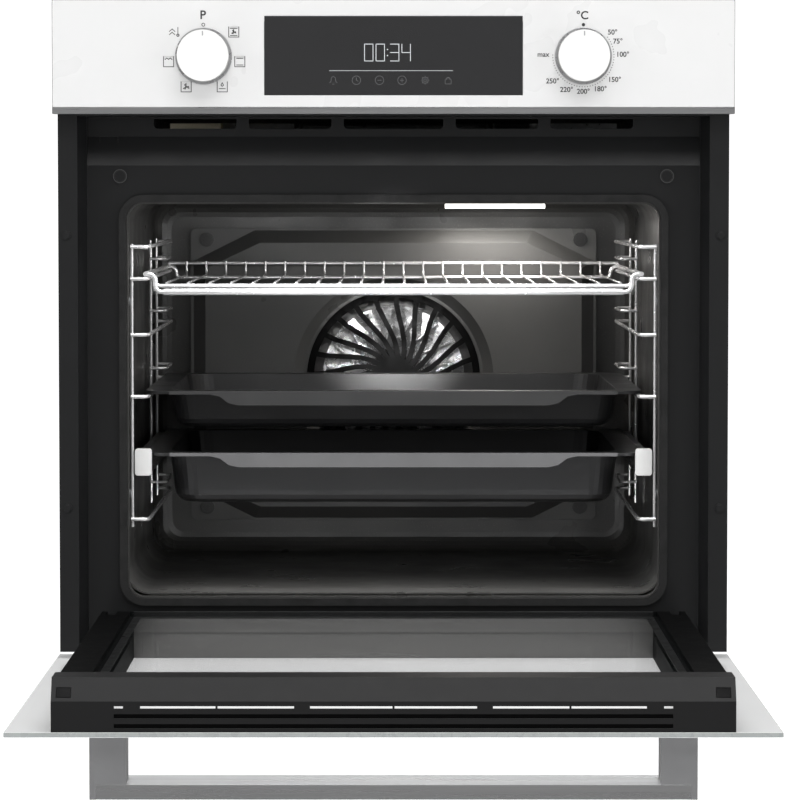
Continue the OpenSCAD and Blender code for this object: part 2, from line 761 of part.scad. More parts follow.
// a cross wire at height low, with an S at its end up past the runner to the side rail
module shelf_rise(y, low, r) {
    bend = min(shelf_bend, shelf_rail_z - shelf_bend - low - 1);
    x = runner_x - shelf_bend - bend;
    rod_x([0, x], y, low, r);
    wire_arc([x, y, low + bend], [90, 0, 0], -90, 90, bend, r);
    rod_z(x + bend, y, [low + bend, shelf_rail_z - shelf_bend], r);
    wire_arc([runner_x, y, shelf_rail_z - shelf_bend], [90, 0, 0], 90, 90, shelf_bend, r);
    rod_x([runner_x, shelf_rail_x], y, shelf_rail_z, r);
}

module wire_shelf() color(chrome) {
    y = [tray_front, tray_front + tray_d];
    both_sides() {
        rod_y(shelf_rail_x, [y[0] - shelf_bar_r + 0.2, y[1] + shelf_rear_r + 0.2], shelf_rail_z,
              shelf_rod_r);
        shelf_rise(y[0], shelf_z, shelf_bar_r - 0.9);
        shelf_rise(y[0] + 11, shelf_grid_z, shelf_bar_r - 1.1);
        shelf_rise(y[1] - 8, shelf_grid_z, shelf_rear_r);
    }
    // the thick front bar, and the raised bar at the rear
    rod_x([-shelf_rail_x + 16, shelf_rail_x - 16], y[0], shelf_z, shelf_bar_r);
    rod_x([-shelf_rail_x, shelf_rail_x], y[1], shelf_rail_z + 3, shelf_rear_r);
    wire_z = shelf_grid_z + shelf_rear_r + shelf_wire_r - 0.4;
    bend = 5;
    for (i = [0 : shelf_wires - 1]) {
        x = (i - (shelf_wires - 1) / 2) * shelf_pitch;
        back = y[1] - shelf_rear_r - shelf_wire_r + 0.4;
        rod_y(x, [y[0] + 10, back - bend], wire_z, shelf_wire_r);
        wire_arc([x, back - bend, wire_z + bend], [90, 0, 90], -90, 90, bend, shelf_wire_r);
        rod_z(x, back, [wire_z + bend, shelf_rail_z + 5], shelf_wire_r);
    }
}

// ---------- trays ----------

// a solid pan with sloping walls and a rounded bottom edge
module pan_solid(half, y, z_top, depth, round_r) {
    slope = 4;
    hull() {
        along_z([z_top - 0.01, z_top]) flat_rounded(half, y, pan_r);
        for (a = [0 : 22.5 : 90]) {
            inset = slope + round_r * (1 - cos(a));
            z = z_top - depth + round_r * (1 - sin(a));
            along_z([z, z + 0.01])
                flat_rounded(half - inset, [y[0] + inset, y[1] - inset], pan_r - inset / 2);
        }
    }
}

// the pouring lip across the front: a shallow band that deepens in the middle
module apron_outline() {
    deep_hw = apron_hw - 62;
    shallow_hw = apron_hw - 36;
    polygon([
        [-apron_hw, 0], [-apron_hw, -apron_end_h], [-shallow_hw, -apron_end_h],
        [-(shallow_hw + deep_hw) / 2 - 4, -apron_end_h - 2], [-(shallow_hw + deep_hw) / 2 + 4, -apron_h + 2],
        [-deep_hw, -apron_h], [deep_hw, -apron_h],
        [(shallow_hw + deep_hw) / 2 - 4, -apron_h + 2], [(shallow_hw + deep_hw) / 2 + 4, -apron_end_h - 2],
        [shallow_hw, -apron_end_h], [apron_hw, -apron_end_h], [apron_hw, 0]
    ]);
}

module tray(z, depth) {
    y = [tray_front, tray_front + tray_d];
    pan_y = [y[0] + 22, y[1] - 22];
    difference() {
        union() {
            along_z([z, z + rim_t]) flat_rounded(tray_hw, y, rim_r);
            pan_solid(pan_hw + tray_t, [pan_y[0] - tray_t, pan_y[1] + tray_t], z + 1, depth, 12);
        }
        pan_solid(pan_hw, pan_y, z + rim_t + 0.1, depth + rim_t - tray_t - 0.9, 11);
        // the rim is pressed hollow from below
        difference() {
            along_z([z - 0.5, z + rim_t - tray_t])
                flat_rounded(tray_hw - tray_t, [y[0] + tray_t, y[1] - tray_t], rim_r - tray_t);
            along_z([z - 1, z + rim_t])
                flat_rounded(pan_hw + tray_t, [pan_y[0] - tray_t, pan_y[1] + tray_t], pan_r);
        }
    }
    translate([0, y[0] + 0.5, z + rim_t - 0.1]) rotate([-20, 0, 0]) along_y([-tray_t, 0]) apron_outline();
}

module baking_tray() color("#3c3c3e") tray(levels[1] + runner_r + seat_gap, baking_tray_h);
module deep_tray() color("#5a5b5d") tray(rail_z + rail_h + seat_gap, deep_tray_h);

// ---------- control panel ----------

module control_fascia() color(white_gloss) difference() {
    block([-panel_w / 2, panel_w / 2], [front_y, 0], [fascia_z, panel_h]);
    block([-panel_w / 2 + fascia_wall, panel_w / 2 - fascia_wall], [front_y + fascia_wall, through],
          [fascia_z + fascia_wall, panel_h - fascia_wall]);
    block([-display_w / 2, display_w / 2], [front_y - through, front_y + fascia_wall + through], display_z);
    for (x = [-knob_x, knob_x])
        rod_y(x, [front_y - through, front_y + fascia_wall + through], knob_cz, knob_hole_r);
}

module fascia_trim() color("#b9babc") difference() {
    block([-panel_w / 2, panel_w / 2], [front_y, -sheet], [trim_z, fascia_z]);
    block([-panel_w / 2 + 6, panel_w / 2 - 6], [front_y + 3, -sheet + through],
          [trim_z + 1.2, fascia_z - 1.2]);
}

module display_glass() color("#0c0c0e") block(
    [-display_w / 2 + slide_gap, display_w / 2 - slide_gap], [front_y, front_y + fascia_wall],
    [display_z[0] + slide_gap, display_z[1] - slide_gap]);

module control_bracket() color(steel) difference() {
    union() {
        block([-housing_hw + 8, housing_hw - 8], [bracket_y, bracket_y + bracket_t],
              [trim_z, housing_h - sheet]);
        block([-housing_hw + 8, housing_hw - 8], [bracket_y, 200], [trim_z, trim_z + sheet]);
    }
    block([-display_w / 2 - 4, display_w / 2 + 4], [-through, bracket_y + bracket_t + through],
          [fascia_z + 6, housing_h - sheet - 6]);
    for (x = [-knob_x, knob_x])
        rod_y(x, [-through, bracket_y + bracket_t + through], knob_cz, boss_r + 1.5);
}

module control_board() color("#1f5b3a") {
    z = [fascia_z + 6.3, housing_h - sheet - 6.3];
    // display unit behind the glass and the relay board behind it
    block([-display_w / 2 + 4, display_w / 2 - 4], [front_y + fascia_wall + seat_gap, -8],
          [z[0] + 2, z[1] - 2]);
    block([-display_w / 2 - 3.7, display_w / 2 + 3.7], [-8, -5.5], z);
    for (x = [-70, -38, -6]) block([x, x + 24], [-5.5, 14], [z[0] + 8, z[0] + 24]);
    rod_y(60, [-5.5, 22], (z[0] + z[1]) / 2, 11);
    block([82, 104], [-5.5, 10], [z[0] + 6, z[1] - 6]);
    block([-display_w / 2 - 3.7, display_w / 2 + 3.7], [-5.5, bracket_y + bracket_t], [z[0], z[0] + 2]);
}

// a rotary switch body with room for the knob's boss and a bearing for its shaft
module switch_body(x, w, h, depth) {
    difference() {
        block([x - w / 2, x + w / 2], [switch_y, switch_y + depth], [knob_cz - h / 2, knob_cz + h / 2]);
        rod_y(x, [switch_y - through, switch_room], knob_cz, boss_r + 1);
        rod_y(x, [switch_room - through, switch_y + depth + through], knob_cz, shaft_d / 2 + bore_gap);
    }
}

module selector_switch() color("#d9d4c4") {
    switch_body(-knob_x, 48, 46, 40);
    for (z = [-15, -5, 5, 15], s = [-1, 1])
        block(s < 0 ? [-knob_x - 30, -knob_x - 24] : [-knob_x + 24, -knob_x + 30],
              [switch_y + 22, switch_y + 23], [knob_cz + z - 3, knob_cz + z + 3]);
}

module thermostat() color("#b8bcc0") {
    switch_body(knob_x, 42, 42, 34);
    for (s = [-1, 1]) block([knob_x + s * 12 - 3, knob_x + s * 12 + 3],
        [switch_y + 34, switch_y + 42], [knob_cz - 1, knob_cz + 1]);
}

module knob_shaft(x, depth) difference() {
    rod_y(x, [shaft_tip, switch_y + depth], knob_cz, shaft_d / 2);
    block([x - shaft_d, x + shaft_d], [shaft_tip - through, switch_room - 1],
          [knob_cz + shaft_d / 2 - 0.9, knob_cz + shaft_d]);
}

module selector_shaft() color(steel) knob_shaft(-knob_x, 38);
module thermostat_shaft() color(steel) knob_shaft(knob_x, 32);

module knob(x) color(white_gloss) {
    face = front_y - knob_out;
    skirt_end = front_y + 2;
    difference() {
        rod_y(x, [face, skirt_end], knob_cz, knob_r);
        rod_y(x, [face + fascia_wall, skirt_end + through], knob_cz, knob_r - 2);
    }
    difference() {
        rod_y(x, [face + 1, bracket_y - 4.3], knob_cz, boss_r);
        difference() {
            rod_y(x, [face + fascia_wall, bracket_y], knob_cz, shaft_d / 2 + bore_gap);
            block([x - shaft_d, x + shaft_d], [face, bracket_y],
                  [knob_cz + shaft_d / 2 - 0.9 + bore_gap, knob_cz + shaft_d]);
        }
    }
}

module function_knob() knob(-knob_x);
module temperature_knob() knob(knob_x);

module knob_bezels() color("#a8aaac") for (x = [-knob_x, knob_x]) difference() {
    union() {
        rod_y(x, [front_y, front_y + fascia_wall], knob_cz, knob_hole_r - bore_gap);
        rod_y(x, [front_y - 1.5, front_y], knob_cz, knob_hole_r + 0.6);
    }
    rod_y(x, [front_y - 2 * through, front_y + 2 * fascia_wall], knob_cz, knob_r + bezel_gap);
}

// ---------- cooling fan ----------

module air_duct() color(steel) difference() {
    block([-duct_hw - 2, duct_hw + 2], [band_y + sheet, duct_back], [duct_z[0], duct_z[1] - sheet]);
    block([-duct_hw + sheet, duct_hw - sheet], [band_y, duct_back + through],
          [duct_z[0] + sheet, duct_z[1] - 2 * sheet]);
}

module cooling_fan_housing() color(steel) difference() {
    half = wheel_w / 2 + 6;
    union() {
        rod_x([-half, half], wheel_y, wheel_z, wheel_r + 8);
        block([-half, half], [duct_back, wheel_y], [wheel_z - wheel_r - 8, wheel_z + 4]);
    }
    rod_x([-half + sheet, half - sheet], wheel_y, wheel_z, wheel_r + 6.5);
    block([-half + sheet, half - sheet], [duct_back - through, wheel_y],
          [wheel_z - wheel_r - 6.5, wheel_z + 2.5]);
    block([-half + 12, half - 12], [wheel_y - 4, wheel_y + wheel_r - 4],
          [wheel_z + 20, wheel_z + wheel_r + 12]);
    rod_x([-half - through, half + through], wheel_y, wheel_z, 3 + bore_gap);
}

module cooling_fan_wheel() color("#9a9c9e") {
    half = wheel_w / 2;
    for (x = [-half, -0.6, half - 1.2]) rod_x([x, x + 1.2], wheel_y, wheel_z, wheel_r);
    rod_x([-half - 7.5, half + 30], wheel_y, wheel_z, 3);
    translate([0, wheel_y, wheel_z]) for (a = [0 : 18 : 342]) rotate([a, 0, 0])
        translate([0, wheel_r - 7, 0]) rotate([25, 0, 0]) block([-half, half], [0, 6.5], [-0.5, 0.5]);
}

module cooling_fan_motor() color("#5f6163") {
    x = wheel_w / 2 + 6;
    difference() {
        union() {
            rod_x([x, x + 34], wheel_y, wheel_z, 24);
            block([x, x + 30], [wheel_y - 16, wheel_y + 16], [duct_z[0], wheel_z]);
        }
        rod_x([x - through, x + 26], wheel_y, wheel_z, 3 + bore_gap);
    }
}

module terminal_block() color("#e6e2d6") difference() {
    union() {
        block([gland_x - 26, gland_x + 26], [housing_d - sheet - 34, housing_d - sheet],
              [gland_z - 24, gland_z + 24]);
        rod_y(gland_x, [housing_d - sheet, housing_d + 6], gland_z, gland_r);
    }
    rod_y(gland_x, [housing_d - 24, housing_d + 6 + through], gland_z, cable_bore_r);
    for (x = [-15, 0, 15])
        block([gland_x + x - 5, gland_x + x + 5], [housing_d - 60, housing_d - sheet - 28],
              [gland_z - 18, gland_z + 18]);
}

// ---------- hinges ----------

module hinge_receivers() color(steel) both_sides() difference() {
    z = [hinge_z - 5 - seat_gap, hinge_z + 5 + seat_gap];
    block([arm_x - arm_t / 2 - 2.4, arm_x + arm_t / 2 + 2.4], [liner_y, arm_end + 6],
          [z[0] - sheet, z[1] + sheet]);
    block([arm_x - arm_t / 2 - 0.9, arm_x + arm_t / 2 + 0.9], [0, arm_end + 7], z);
}

module hinge_arms() color("#a2a5a8") both_sides() difference() {
    along_x([arm_x - arm_t / 2, arm_x + arm_t / 2]) union() {
        translate([hinge_y, hinge_z]) circle(r = arm_r);
        translate([hinge_y, hinge_z - 5]) square([arm_end - hinge_y, 10]);
    }
    rod_x([arm_x - arm_t, arm_x + arm_t], hinge_y, hinge_z, pin_d / 2 + bore_gap);
    block([arm_x - arm_t, arm_x + arm_t], [plate_y + 8, plate_y + 14], [hinge_z - 6, hinge_z - 2]);
}

// U channels inside the side frames, each with its riveted pivot pin
module hinge_channels() color(steel) on_door() both_sides() {
    x = [arm_x - channel_w / 2, arm_x + channel_w / 2];
    y = [glass_back + 4, glass_back + 24];
    z = [hinge_z - 8, hinge_z + 170];
    difference() {
        block(x, y, z);
        block([x[0] + channel_t, x[1] - channel_t], [y[0] + channel_t, y[1] + through],
              [z[0] - through, z[1] + through]);
        block([x[0] + channel_t, x[1] - channel_t], [y[0] - through, y[1]], [z[0] - through, hinge_z + 20]);
    }
    rod_x(x, hinge_y, hinge_z, pin_d / 2);
}

// ---------- door ----------

module door_glass_outer() color(white_gloss) on_door()
    block([-panel_w / 2, panel_w / 2], [front_y, glass_back], [door_bottom, door_top]);

module door_glass_middle() color("#9fb0ad", 0.4) on_door()
    block([-frame_in - 2, frame_in + 2], [middle_y, middle_y + inner_t], [frame_low + 12, trim_low + 6]);

module door_glass_inner() color("#8fa09d", 0.4) on_door()
    block([-frame_in - 3, frame_in + 3], [door_in - inner_t, door_in], [frame_low + 4, trim_low - seat_gap]);

module door_side_frames() color(dark_plastic) on_door() both_sides() difference() {
    block([frame_in, frame_hw], [glass_back, door_in], [frame_low, trim_low]);
    // room for the hinge channel and the arm
    block([arm_x - channel_w / 2 - slide_gap, arm_x + channel_w / 2 + slide_gap],
          [glass_back + 4 - slide_gap, glass_back + 24 + slide_gap],
          [frame_low - through, hinge_z + 170 + slide_gap]);
    block([arm_x - arm_slot / 2, arm_x + arm_slot / 2], [glass_back - through, door_in + through],
          [frame_low - through, hinge_z + 20]);
    // grooves for the panes
    block([frame_in - through, frame_in + 2.3], [middle_y - 0.3, middle_y + inner_t + 0.3],
          [frame_low + 11.7, trim_low + through]);
    block([frame_in - through, frame_in + 3.3], [door_in - inner_t - 0.2, door_in + through],
          [frame_low + 3.7, trim_low + through]);
}

module door_bottom_rail() color(dark_plastic) on_door() difference() {
    block([-frame_in + 0.1, frame_in - 0.1], [glass_back, door_in], [frame_low, frame_low + 3.7]);
    for (x = [-200 : 40 : 200])
        block([x - 14, x + 14], [glass_back + 6, middle_y - 4], [frame_low - through, frame_low + 5]);
}

// the trim's outer section, seen along the door
module trim_section(shrink) {
    z_top = door_top - shrink;
    y_in = door_in - shrink;
    polygon([
        [glass_back, trim_low], [glass_back, z_top], [door_in - trim_chamfer[0], z_top],
        [y_in, z_top - trim_chamfer[1] + shrink * 0.4], [y_in, trim_low]
    ]);
}

module door_top_trim() color(dark_plastic) on_door() difference() {
    along_x([-trim_hw, trim_hw]) trim_section(0);
    difference() {
        along_x([-trim_hw + trim_t, trim_hw - trim_t]) translate([0, -0.001]) trim_section(trim_t);
        // lower lip that holds the inner pane's edge
        both_sides()
            block([frame_in + 2.5, trim_hw], [glass_back - 1, door_in - 5], [trim_low - 1, trim_low + 4]);
    }
    block([-trim_hw + trim_t, trim_hw - trim_t], [glass_back - through, glass_back + 0.01],
          [trim_low, door_top - trim_t]);
    // the row of narrow air slots, and two grooves beside it
    slot_y = [door_in - trim_chamfer[0] - 5.6, door_in - trim_chamfer[0] - 3.6];
    for (x = [[-slot_hw, -206], [-193, -135.5], [-134, -75.7], [-63.6, -0.8]]) both_sides()
        block(x, slot_y, [door_top - trim_t - through, door_top + through]);
    for (y = [-7.2, -14.8]) block([-slot_hw, slot_hw], [y, y + 3.2], [door_top - 1.2, door_top + through]);
    both_sides() button_room(slide_gap);
}

// the pocket of a release button in the sloping part of the trim's top
module button_room(gap) {
    block([trim_hw - 15 - gap, trim_hw - 4 + gap], [door_in - 14.5 - gap, door_in - 7.5 + gap],
          [door_top - 12, door_top + 2]);
}

module release_button(side) color("#161617") on_door() on_side(side) intersection() {
    block([trim_hw - 15, trim_hw - 4], [door_in - 14.5, door_in - 7.5], [door_top - 12, door_top + 2]);
    along_x([-trim_hw, trim_hw]) trim_section(0.3);
}

module release_button_left() release_button(-1);
module release_button_right() release_button(1);

// ---------- handle ----------

module handle_bar() color("#c4c6c8") on_door() along_x([-handle_w / 2, handle_w / 2])
    polygon([
        [bar_y, bar_z - bar_h / 2 + 1], [bar_y + 1, bar_z - bar_h / 2],
        [bar_y + bar_t, bar_z - bar_h / 2], [bar_y + bar_t - 3, bar_z + bar_h / 2],
        [bar_y + 1, bar_z + bar_h / 2], [bar_y, bar_z + bar_h / 2 - 1]
    ]);

module handle_posts() color("#9a9b9d") on_door() both_sides() {
    x = [handle_w / 2 - post_w, handle_w / 2];
    along_x(x) polygon([
        [bar_y + bar_t, bar_z - bar_h / 2], [front_y, bar_z - bar_h / 2],
        [front_y, bar_z + bar_h / 2], [bar_y + bar_t - 3, bar_z + bar_h / 2]
    ]);
    block([handle_w / 2, handle_w / 2 + 5], [bar_y, front_y], [bar_z - bar_h / 2, bar_z + bar_h / 2]);
}

front_frame();
cavity_liner();
door_gasket();
insulation_blanket();
side_panel_left();
side_panel_right();
top_cover();
rear_cover();
base_plate();
back_baffle();
fan_grille();
baffle_screws();
fan_motor();
convection_fan();
ring_heater();
grill_heater();
bottom_heater();
lamp_housing();
lamp_bulb();
lamp_lens();
side_rack_left();
side_rack_right();
rack_sockets();
outer_rails();
middle_rails();
inner_rails();
rail_caps();
wire_shelf();
baking_tray();
deep_tray();
control_fascia();
fascia_trim();
display_glass();
control_bracket();
control_board();
selector_switch();
thermostat();
selector_shaft();
thermostat_shaft();
function_knob();
temperature_knob();
knob_bezels();
air_duct();
cooling_fan_housing();
cooling_fan_wheel();
cooling_fan_motor();
terminal_block();
hinge_receivers();
hinge_arms();
hinge_channels();
door_glass_outer();
door_glass_middle();
door_glass_inner();
door_side_frames();
door_top_trim();
door_bottom_rail();
release_button_left();
release_button_right();
handle_bar();
handle_posts();
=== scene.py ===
import json
import math

import bmesh
import bpy
from mathutils import Matrix, Vector


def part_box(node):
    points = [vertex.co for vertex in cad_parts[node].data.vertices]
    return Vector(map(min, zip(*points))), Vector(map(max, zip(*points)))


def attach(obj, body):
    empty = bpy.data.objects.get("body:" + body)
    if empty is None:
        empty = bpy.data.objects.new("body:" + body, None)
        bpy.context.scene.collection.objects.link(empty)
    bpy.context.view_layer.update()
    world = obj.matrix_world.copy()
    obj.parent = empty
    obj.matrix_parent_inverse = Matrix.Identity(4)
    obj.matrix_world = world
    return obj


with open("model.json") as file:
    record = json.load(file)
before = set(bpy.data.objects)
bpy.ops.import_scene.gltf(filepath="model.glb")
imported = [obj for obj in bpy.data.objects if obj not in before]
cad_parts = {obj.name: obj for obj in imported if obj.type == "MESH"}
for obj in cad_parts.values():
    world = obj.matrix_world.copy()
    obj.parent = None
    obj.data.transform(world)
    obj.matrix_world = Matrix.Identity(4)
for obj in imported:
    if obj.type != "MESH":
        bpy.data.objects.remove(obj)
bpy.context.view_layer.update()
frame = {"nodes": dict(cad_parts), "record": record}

MM = 0.001
nodes = frame["nodes"]


# ---------- materials ----------

def new_material(name):
    mat = bpy.data.materials.new(name)
    mat.use_nodes = True
    tree = mat.node_tree
    return mat, tree, tree.nodes["Principled BSDF"]


def noise(tree, scale, stretch=(1, 1, 1), detail=3.0, rough=0.5):
    """A noise in object space, stretched along an axis for brushed or rolled metal."""
    coords = tree.nodes.new("ShaderNodeTexCoord")
    mapping = tree.nodes.new("ShaderNodeMapping")
    mapping.inputs["Scale"].default_value = stretch
    tex = tree.nodes.new("ShaderNodeTexNoise")
    tex.inputs["Scale"].default_value = scale
    tex.inputs["Detail"].default_value = detail
    tex.inputs["Roughness"].default_value = rough
    tree.links.new(coords.outputs["Object"], mapping.inputs["Vector"])
    tree.links.new(mapping.outputs["Vector"], tex.inputs["Vector"])
    return tex.outputs["Fac"]


def ramp(tree, value, low, high):
    """Spreads the part of a noise that matters, 0.3 to 0.7, from low to high."""
    node = tree.nodes.new("ShaderNodeMapRange")
    node.inputs["From Min"].default_value = 0.3
    node.inputs["From Max"].default_value = 0.7
    node.inputs["To Min"].default_value = low
    node.inputs["To Max"].default_value = high
    tree.links.new(value, node.inputs["Value"])
    return node.outputs["Result"]


def tint(color, factor):
    """A colour made lighter or darker by a factor, as RGBA."""
    return tuple(min(1.0, c * factor) for c in color) + (1.0,)


def surface(name, color, rough, metal=0.0, spread=0.08, scale=25, stretch=(1, 1, 1), grain=(600, 0.02),
            grain_stretch=(1, 1, 1), edge=0.0, rough_spread=0.25, **sockets):
    """A finish whose colour, roughness and bump vary as the real one's do; edge rounds corners in mm."""
    mat, tree, shader = new_material(name)
    wide = noise(tree, scale, stretch)
    mix = tree.nodes.new("ShaderNodeMix")
    mix.data_type = "RGBA"
    mix.inputs["A"].default_value = tint(color, 1 - spread)
    mix.inputs["B"].default_value = tint(color, 1 + spread)
    tree.links.new(ramp(tree, wide, 0, 1), mix.inputs["Factor"])
    tree.links.new(mix.outputs["Result"], shader.inputs["Base Color"])
    tree.links.new(ramp(tree, noise(tree, scale * 2.3, stretch), rough * (1 - rough_spread),
                        rough * (1 + rough_spread)), shader.inputs["Roughness"])
    fine = noise(tree, grain[0], grain_stretch, 2.0)
    bump = tree.nodes.new("ShaderNodeBump")
    bump.inputs["Strength"].default_value = grain[1]
    bump.inputs["Distance"].default_value = 0.0005
    tree.links.new(fine, bump.inputs["Height"])
    if edge:
        bevel = tree.nodes.new("ShaderNodeBevel")
        bevel.samples = 4
        bevel.inputs["Radius"].default_value = edge * MM
        tree.links.new(bevel.outputs["Normal"], bump.inputs["Normal"])
    tree.links.new(bump.outputs["Normal"], shader.inputs["Normal"])
    shader.inputs["Metallic"].default_value = metal
    for key, value in sockets.items():
        shader.inputs[key.replace("_", " ").title().replace("Ior", "IOR")].default_value = value
    return mat


def speckled_enamel(name, base, fleck, rough, **sockets):
    """Enamel with the fine pale flecks that oven cavities and trays are fired with."""
    fleck_scale, fleck_core, fleck_rim = 420, 0.12, 0.2
    mat = surface(name, base, rough, spread=0.12, scale=9, grain=(260, 0.05), **sockets)
    tree = mat.node_tree
    shader = tree.nodes["Principled BSDF"]
    coords = tree.nodes.new("ShaderNodeTexCoord")
    cells = tree.nodes.new("ShaderNodeTexVoronoi")
    cells.inputs["Scale"].default_value = fleck_scale
    tree.links.new(coords.outputs["Object"], cells.inputs["Vector"])
    dots = tree.nodes.new("ShaderNodeMapRange")
    dots.inputs["From Min"].default_value = fleck_core
    dots.inputs["From Max"].default_value = fleck_rim
    dots.inputs["To Min"].default_value = 1
    dots.inputs["To Max"].default_value = 0
    tree.links.new(cells.outputs["Distance"], dots.inputs["Value"])
    mix = tree.nodes.new("ShaderNodeMix")
    mix.data_type = "RGBA"
    mix.inputs["B"].default_value = fleck + (1.0,)
    old = shader.inputs["Base Color"].links[0].from_socket
    tree.links.new(old, mix.inputs["A"])
    tree.links.new(dots.outputs["Result"], mix.inputs["Factor"])
    tree.links.new(mix.outputs["Result"], shader.inputs["Base Color"])
    return mat


def glow(name, color, strength):
    """A finish that gives off light of its own."""
    mat, tree, shader = new_material(name)
    shader.inputs["Base Color"].default_value = color + (1.0,)
    shader.inputs["Emission Color"].default_value = color + (1.0,)
    shader.inputs["Emission Strength"].default_value = strength
    tree.links.new(ramp(tree, noise(tree, 40), 0.2, 0.3), shader.inputs["Roughness"])
    return mat


black_enamel = surface("black_enamel", (0.011, 0.0113, 0.0118), 0.38, spread=0.04, scale=14,
                       grain=(500, 0.03), edge=0.6, rough_spread=0.08, specular_ior_level=0.3)
cavity_enamel = speckled_enamel("cavity_enamel", (0.05, 0.049, 0.047), (0.09, 0.088, 0.08), 0.34,
                                specular_ior_level=0.45)
baffle_enamel = speckled_enamel("baffle_enamel", (0.085, 0.0845, 0.083), (0.08, 0.078, 0.07), 0.36,
                                edge=0.6, specular_ior_level=0.35)
grille_enamel = surface("grille_enamel", (0.0025, 0.0025, 0.0025), 0.6, edge=0.4, grain=(300, 0.04),
                        specular_ior_level=0.05)
gasket_rubber = surface("gasket_rubber", (0.006, 0.006, 0.006), 0.7, grain=(900, 0.15))
wool = surface("wool", (0.42, 0.38, 0.24), 0.95, spread=0.25, scale=60, grain=(160, 0.6),
               grain_stretch=(1, 0.3, 1))
galvanised = surface("galvanised", (0.42, 0.43, 0.44), 0.42, metal=1.0, spread=0.16, scale=70,
                     grain=(45, 0.05), edge=0.4, rough_spread=0.4)
dull_steel = surface("dull_steel", (0.33, 0.33, 0.33), 0.45, metal=1.0, spread=0.1, grain=(300, 0.05),
                     edge=0.3)
chrome = surface("chrome", (0.95, 0.95, 0.955), 0.22, metal=0.7, spread=0.03, scale=120, grain=(900, 0.004))
fan_metal = surface("fan_metal", (0.34, 0.34, 0.34), 0.25, metal=1.0, spread=0.04, scale=60,
                    grain=(500, 0.02), anisotropic=0.92)
dark_screw = surface("dark_screw", (0.03, 0.03, 0.03), 0.35, metal=0.5, edge=0.5, grain=(500, 0.05))
shadow_steel = surface("shadow_steel", (0.02, 0.02, 0.021), 0.5, metal=0.2, grain=(300, 0.05))
shield_steel = surface("shield_steel", (0.25, 0.248, 0.243), 0.33, metal=1.0, spread=0.05, scale=30,
                       stretch=(0.05, 1, 1), grain=(700, 0.04), grain_stretch=(0.02, 1, 1))
heater_tube = surface("heater_tube", (0.1, 0.09, 0.08), 0.5, metal=0.8, spread=0.3, scale=90,
                      grain=(700, 0.1))
motor_paint = surface("motor_paint", (0.12, 0.125, 0.13), 0.5, metal=0.6, spread=0.1, grain=(400, 0.08),
                      edge=0.4)
tray_enamel = surface("tray_enamel", (0.014, 0.014, 0.0145), 0.38, spread=0.05, scale=18, grain=(420, 0.03),
                      edge=0.5, rough_spread=0.1, specular_ior_level=0.3)
deep_tray_enamel = surface("deep_tray_enamel", (0.085, 0.085, 0.087), 0.3, spread=0.03, scale=18, metal=0.8,
                           grain=(420, 0.02), edge=0.5, rough_spread=0.08, specular_ior_level=0.4)
white_paint = surface("white_paint", (0.72, 0.72, 0.72), 0.3, spread=0.003, scale=6, grain=(350, 0.02),
                      edge=0.6, coat_weight=0.4, coat_roughness=0.08)
knob_plastic = surface("knob_plastic", (0.83, 0.83, 0.82), 0.33, spread=0.01, scale=20, grain=(900, 0.03),
                       edge=0.9, coat_weight=0.3, coat_roughness=0.1)
cap_plastic = surface("cap_plastic", (0.86, 0.86, 0.85), 0.4, spread=0.02, scale=60, grain=(900, 0.04),
                      edge=0.6)
knob_ring = surface("knob_ring", (0.55, 0.55, 0.56), 0.3, metal=1.0, spread=0.05, grain=(900, 0.05),
                    edge=0.2)
brushed = surface("brushed", (0.44, 0.44, 0.445), 0.32, metal=0.92, spread=0.06, scale=90,
                  stretch=(0.02, 1, 1), grain=(900, 0.12), grain_stretch=(0.01, 1, 1), edge=0.5,
                  anisotropic=0.5)
trim_metal = surface("trim_metal", (0.42, 0.42, 0.425), 0.3, metal=0.9, spread=0.06, scale=90,
                     stretch=(0.02, 1, 1), grain=(900, 0.1), grain_stretch=(0.01, 1, 1), edge=0.3)
post_metal = surface("post_metal", (0.27, 0.27, 0.275), 0.42, metal=0.6, spread=0.04, grain=(700, 0.06),
                     edge=0.5)
black_glass = surface("black_glass", (0.012, 0.012, 0.013), 0.1, spread=0.04, grain=(200, 0.004), edge=0.2,
                      coat_weight=1.0, coat_roughness=0.02)
white_glass = surface("white_glass", (0.89, 0.895, 0.895), 0.12, spread=0.01, scale=5, grain=(60, 0.004),
                      edge=0.4, coat_weight=0.2, coat_roughness=0.02, specular_ior_level=0.15)
dark_plastic = surface("dark_plastic", (0.0085, 0.0085, 0.0088), 0.5, spread=0.03, scale=40,
                       grain=(1200, 0.05), edge=0.5, rough_spread=0.04, specular_ior_level=0.28)
frame_plastic = surface("frame_plastic", (0.0018, 0.0018, 0.0019), 0.6, spread=0.03, scale=40,
                        grain=(1200, 0.05), edge=0.4, rough_spread=0.04, specular_ior_level=0.04)
# a darker copy of the trim's plastic for the floors of its grooves: painted shade
groove_shade_plastic = surface("groove_shade_plastic", (0.002, 0.002, 0.002), 0.7, spread=0.03, scale=40,
                         grain=(1200, 0.05), specular_ior_level=0.04)
button_plastic = surface("button_plastic", (0.004, 0.004, 0.0042), 0.5, spread=0.03, scale=40,
                         grain=(1200, 0.05), edge=0.4, specular_ior_level=0.12)
board_green = surface("board_green", (0.02, 0.12, 0.06), 0.4, spread=0.2, scale=200, grain=(250, 0.3))
cream_plastic = surface("cream_plastic", (0.62, 0.57, 0.44), 0.5, spread=0.05, grain=(800, 0.08), edge=0.4)
clear_glass = surface("clear_glass", (0.01, 0.012, 0.012), 0.03, spread=0.02, grain=(40, 0.002), alpha=0.16,
                      specular_ior_level=0.15)
middle_glass = surface("middle_glass", (0.02, 0.025, 0.024), 0.03, spread=0.02, grain=(40, 0.002),
                       alpha=0.04, specular_ior_level=0.15)
glass_edge = surface("glass_edge", (0.32, 0.34, 0.335), 0.3, spread=0.05, scale=80, grain=(400, 0.03))
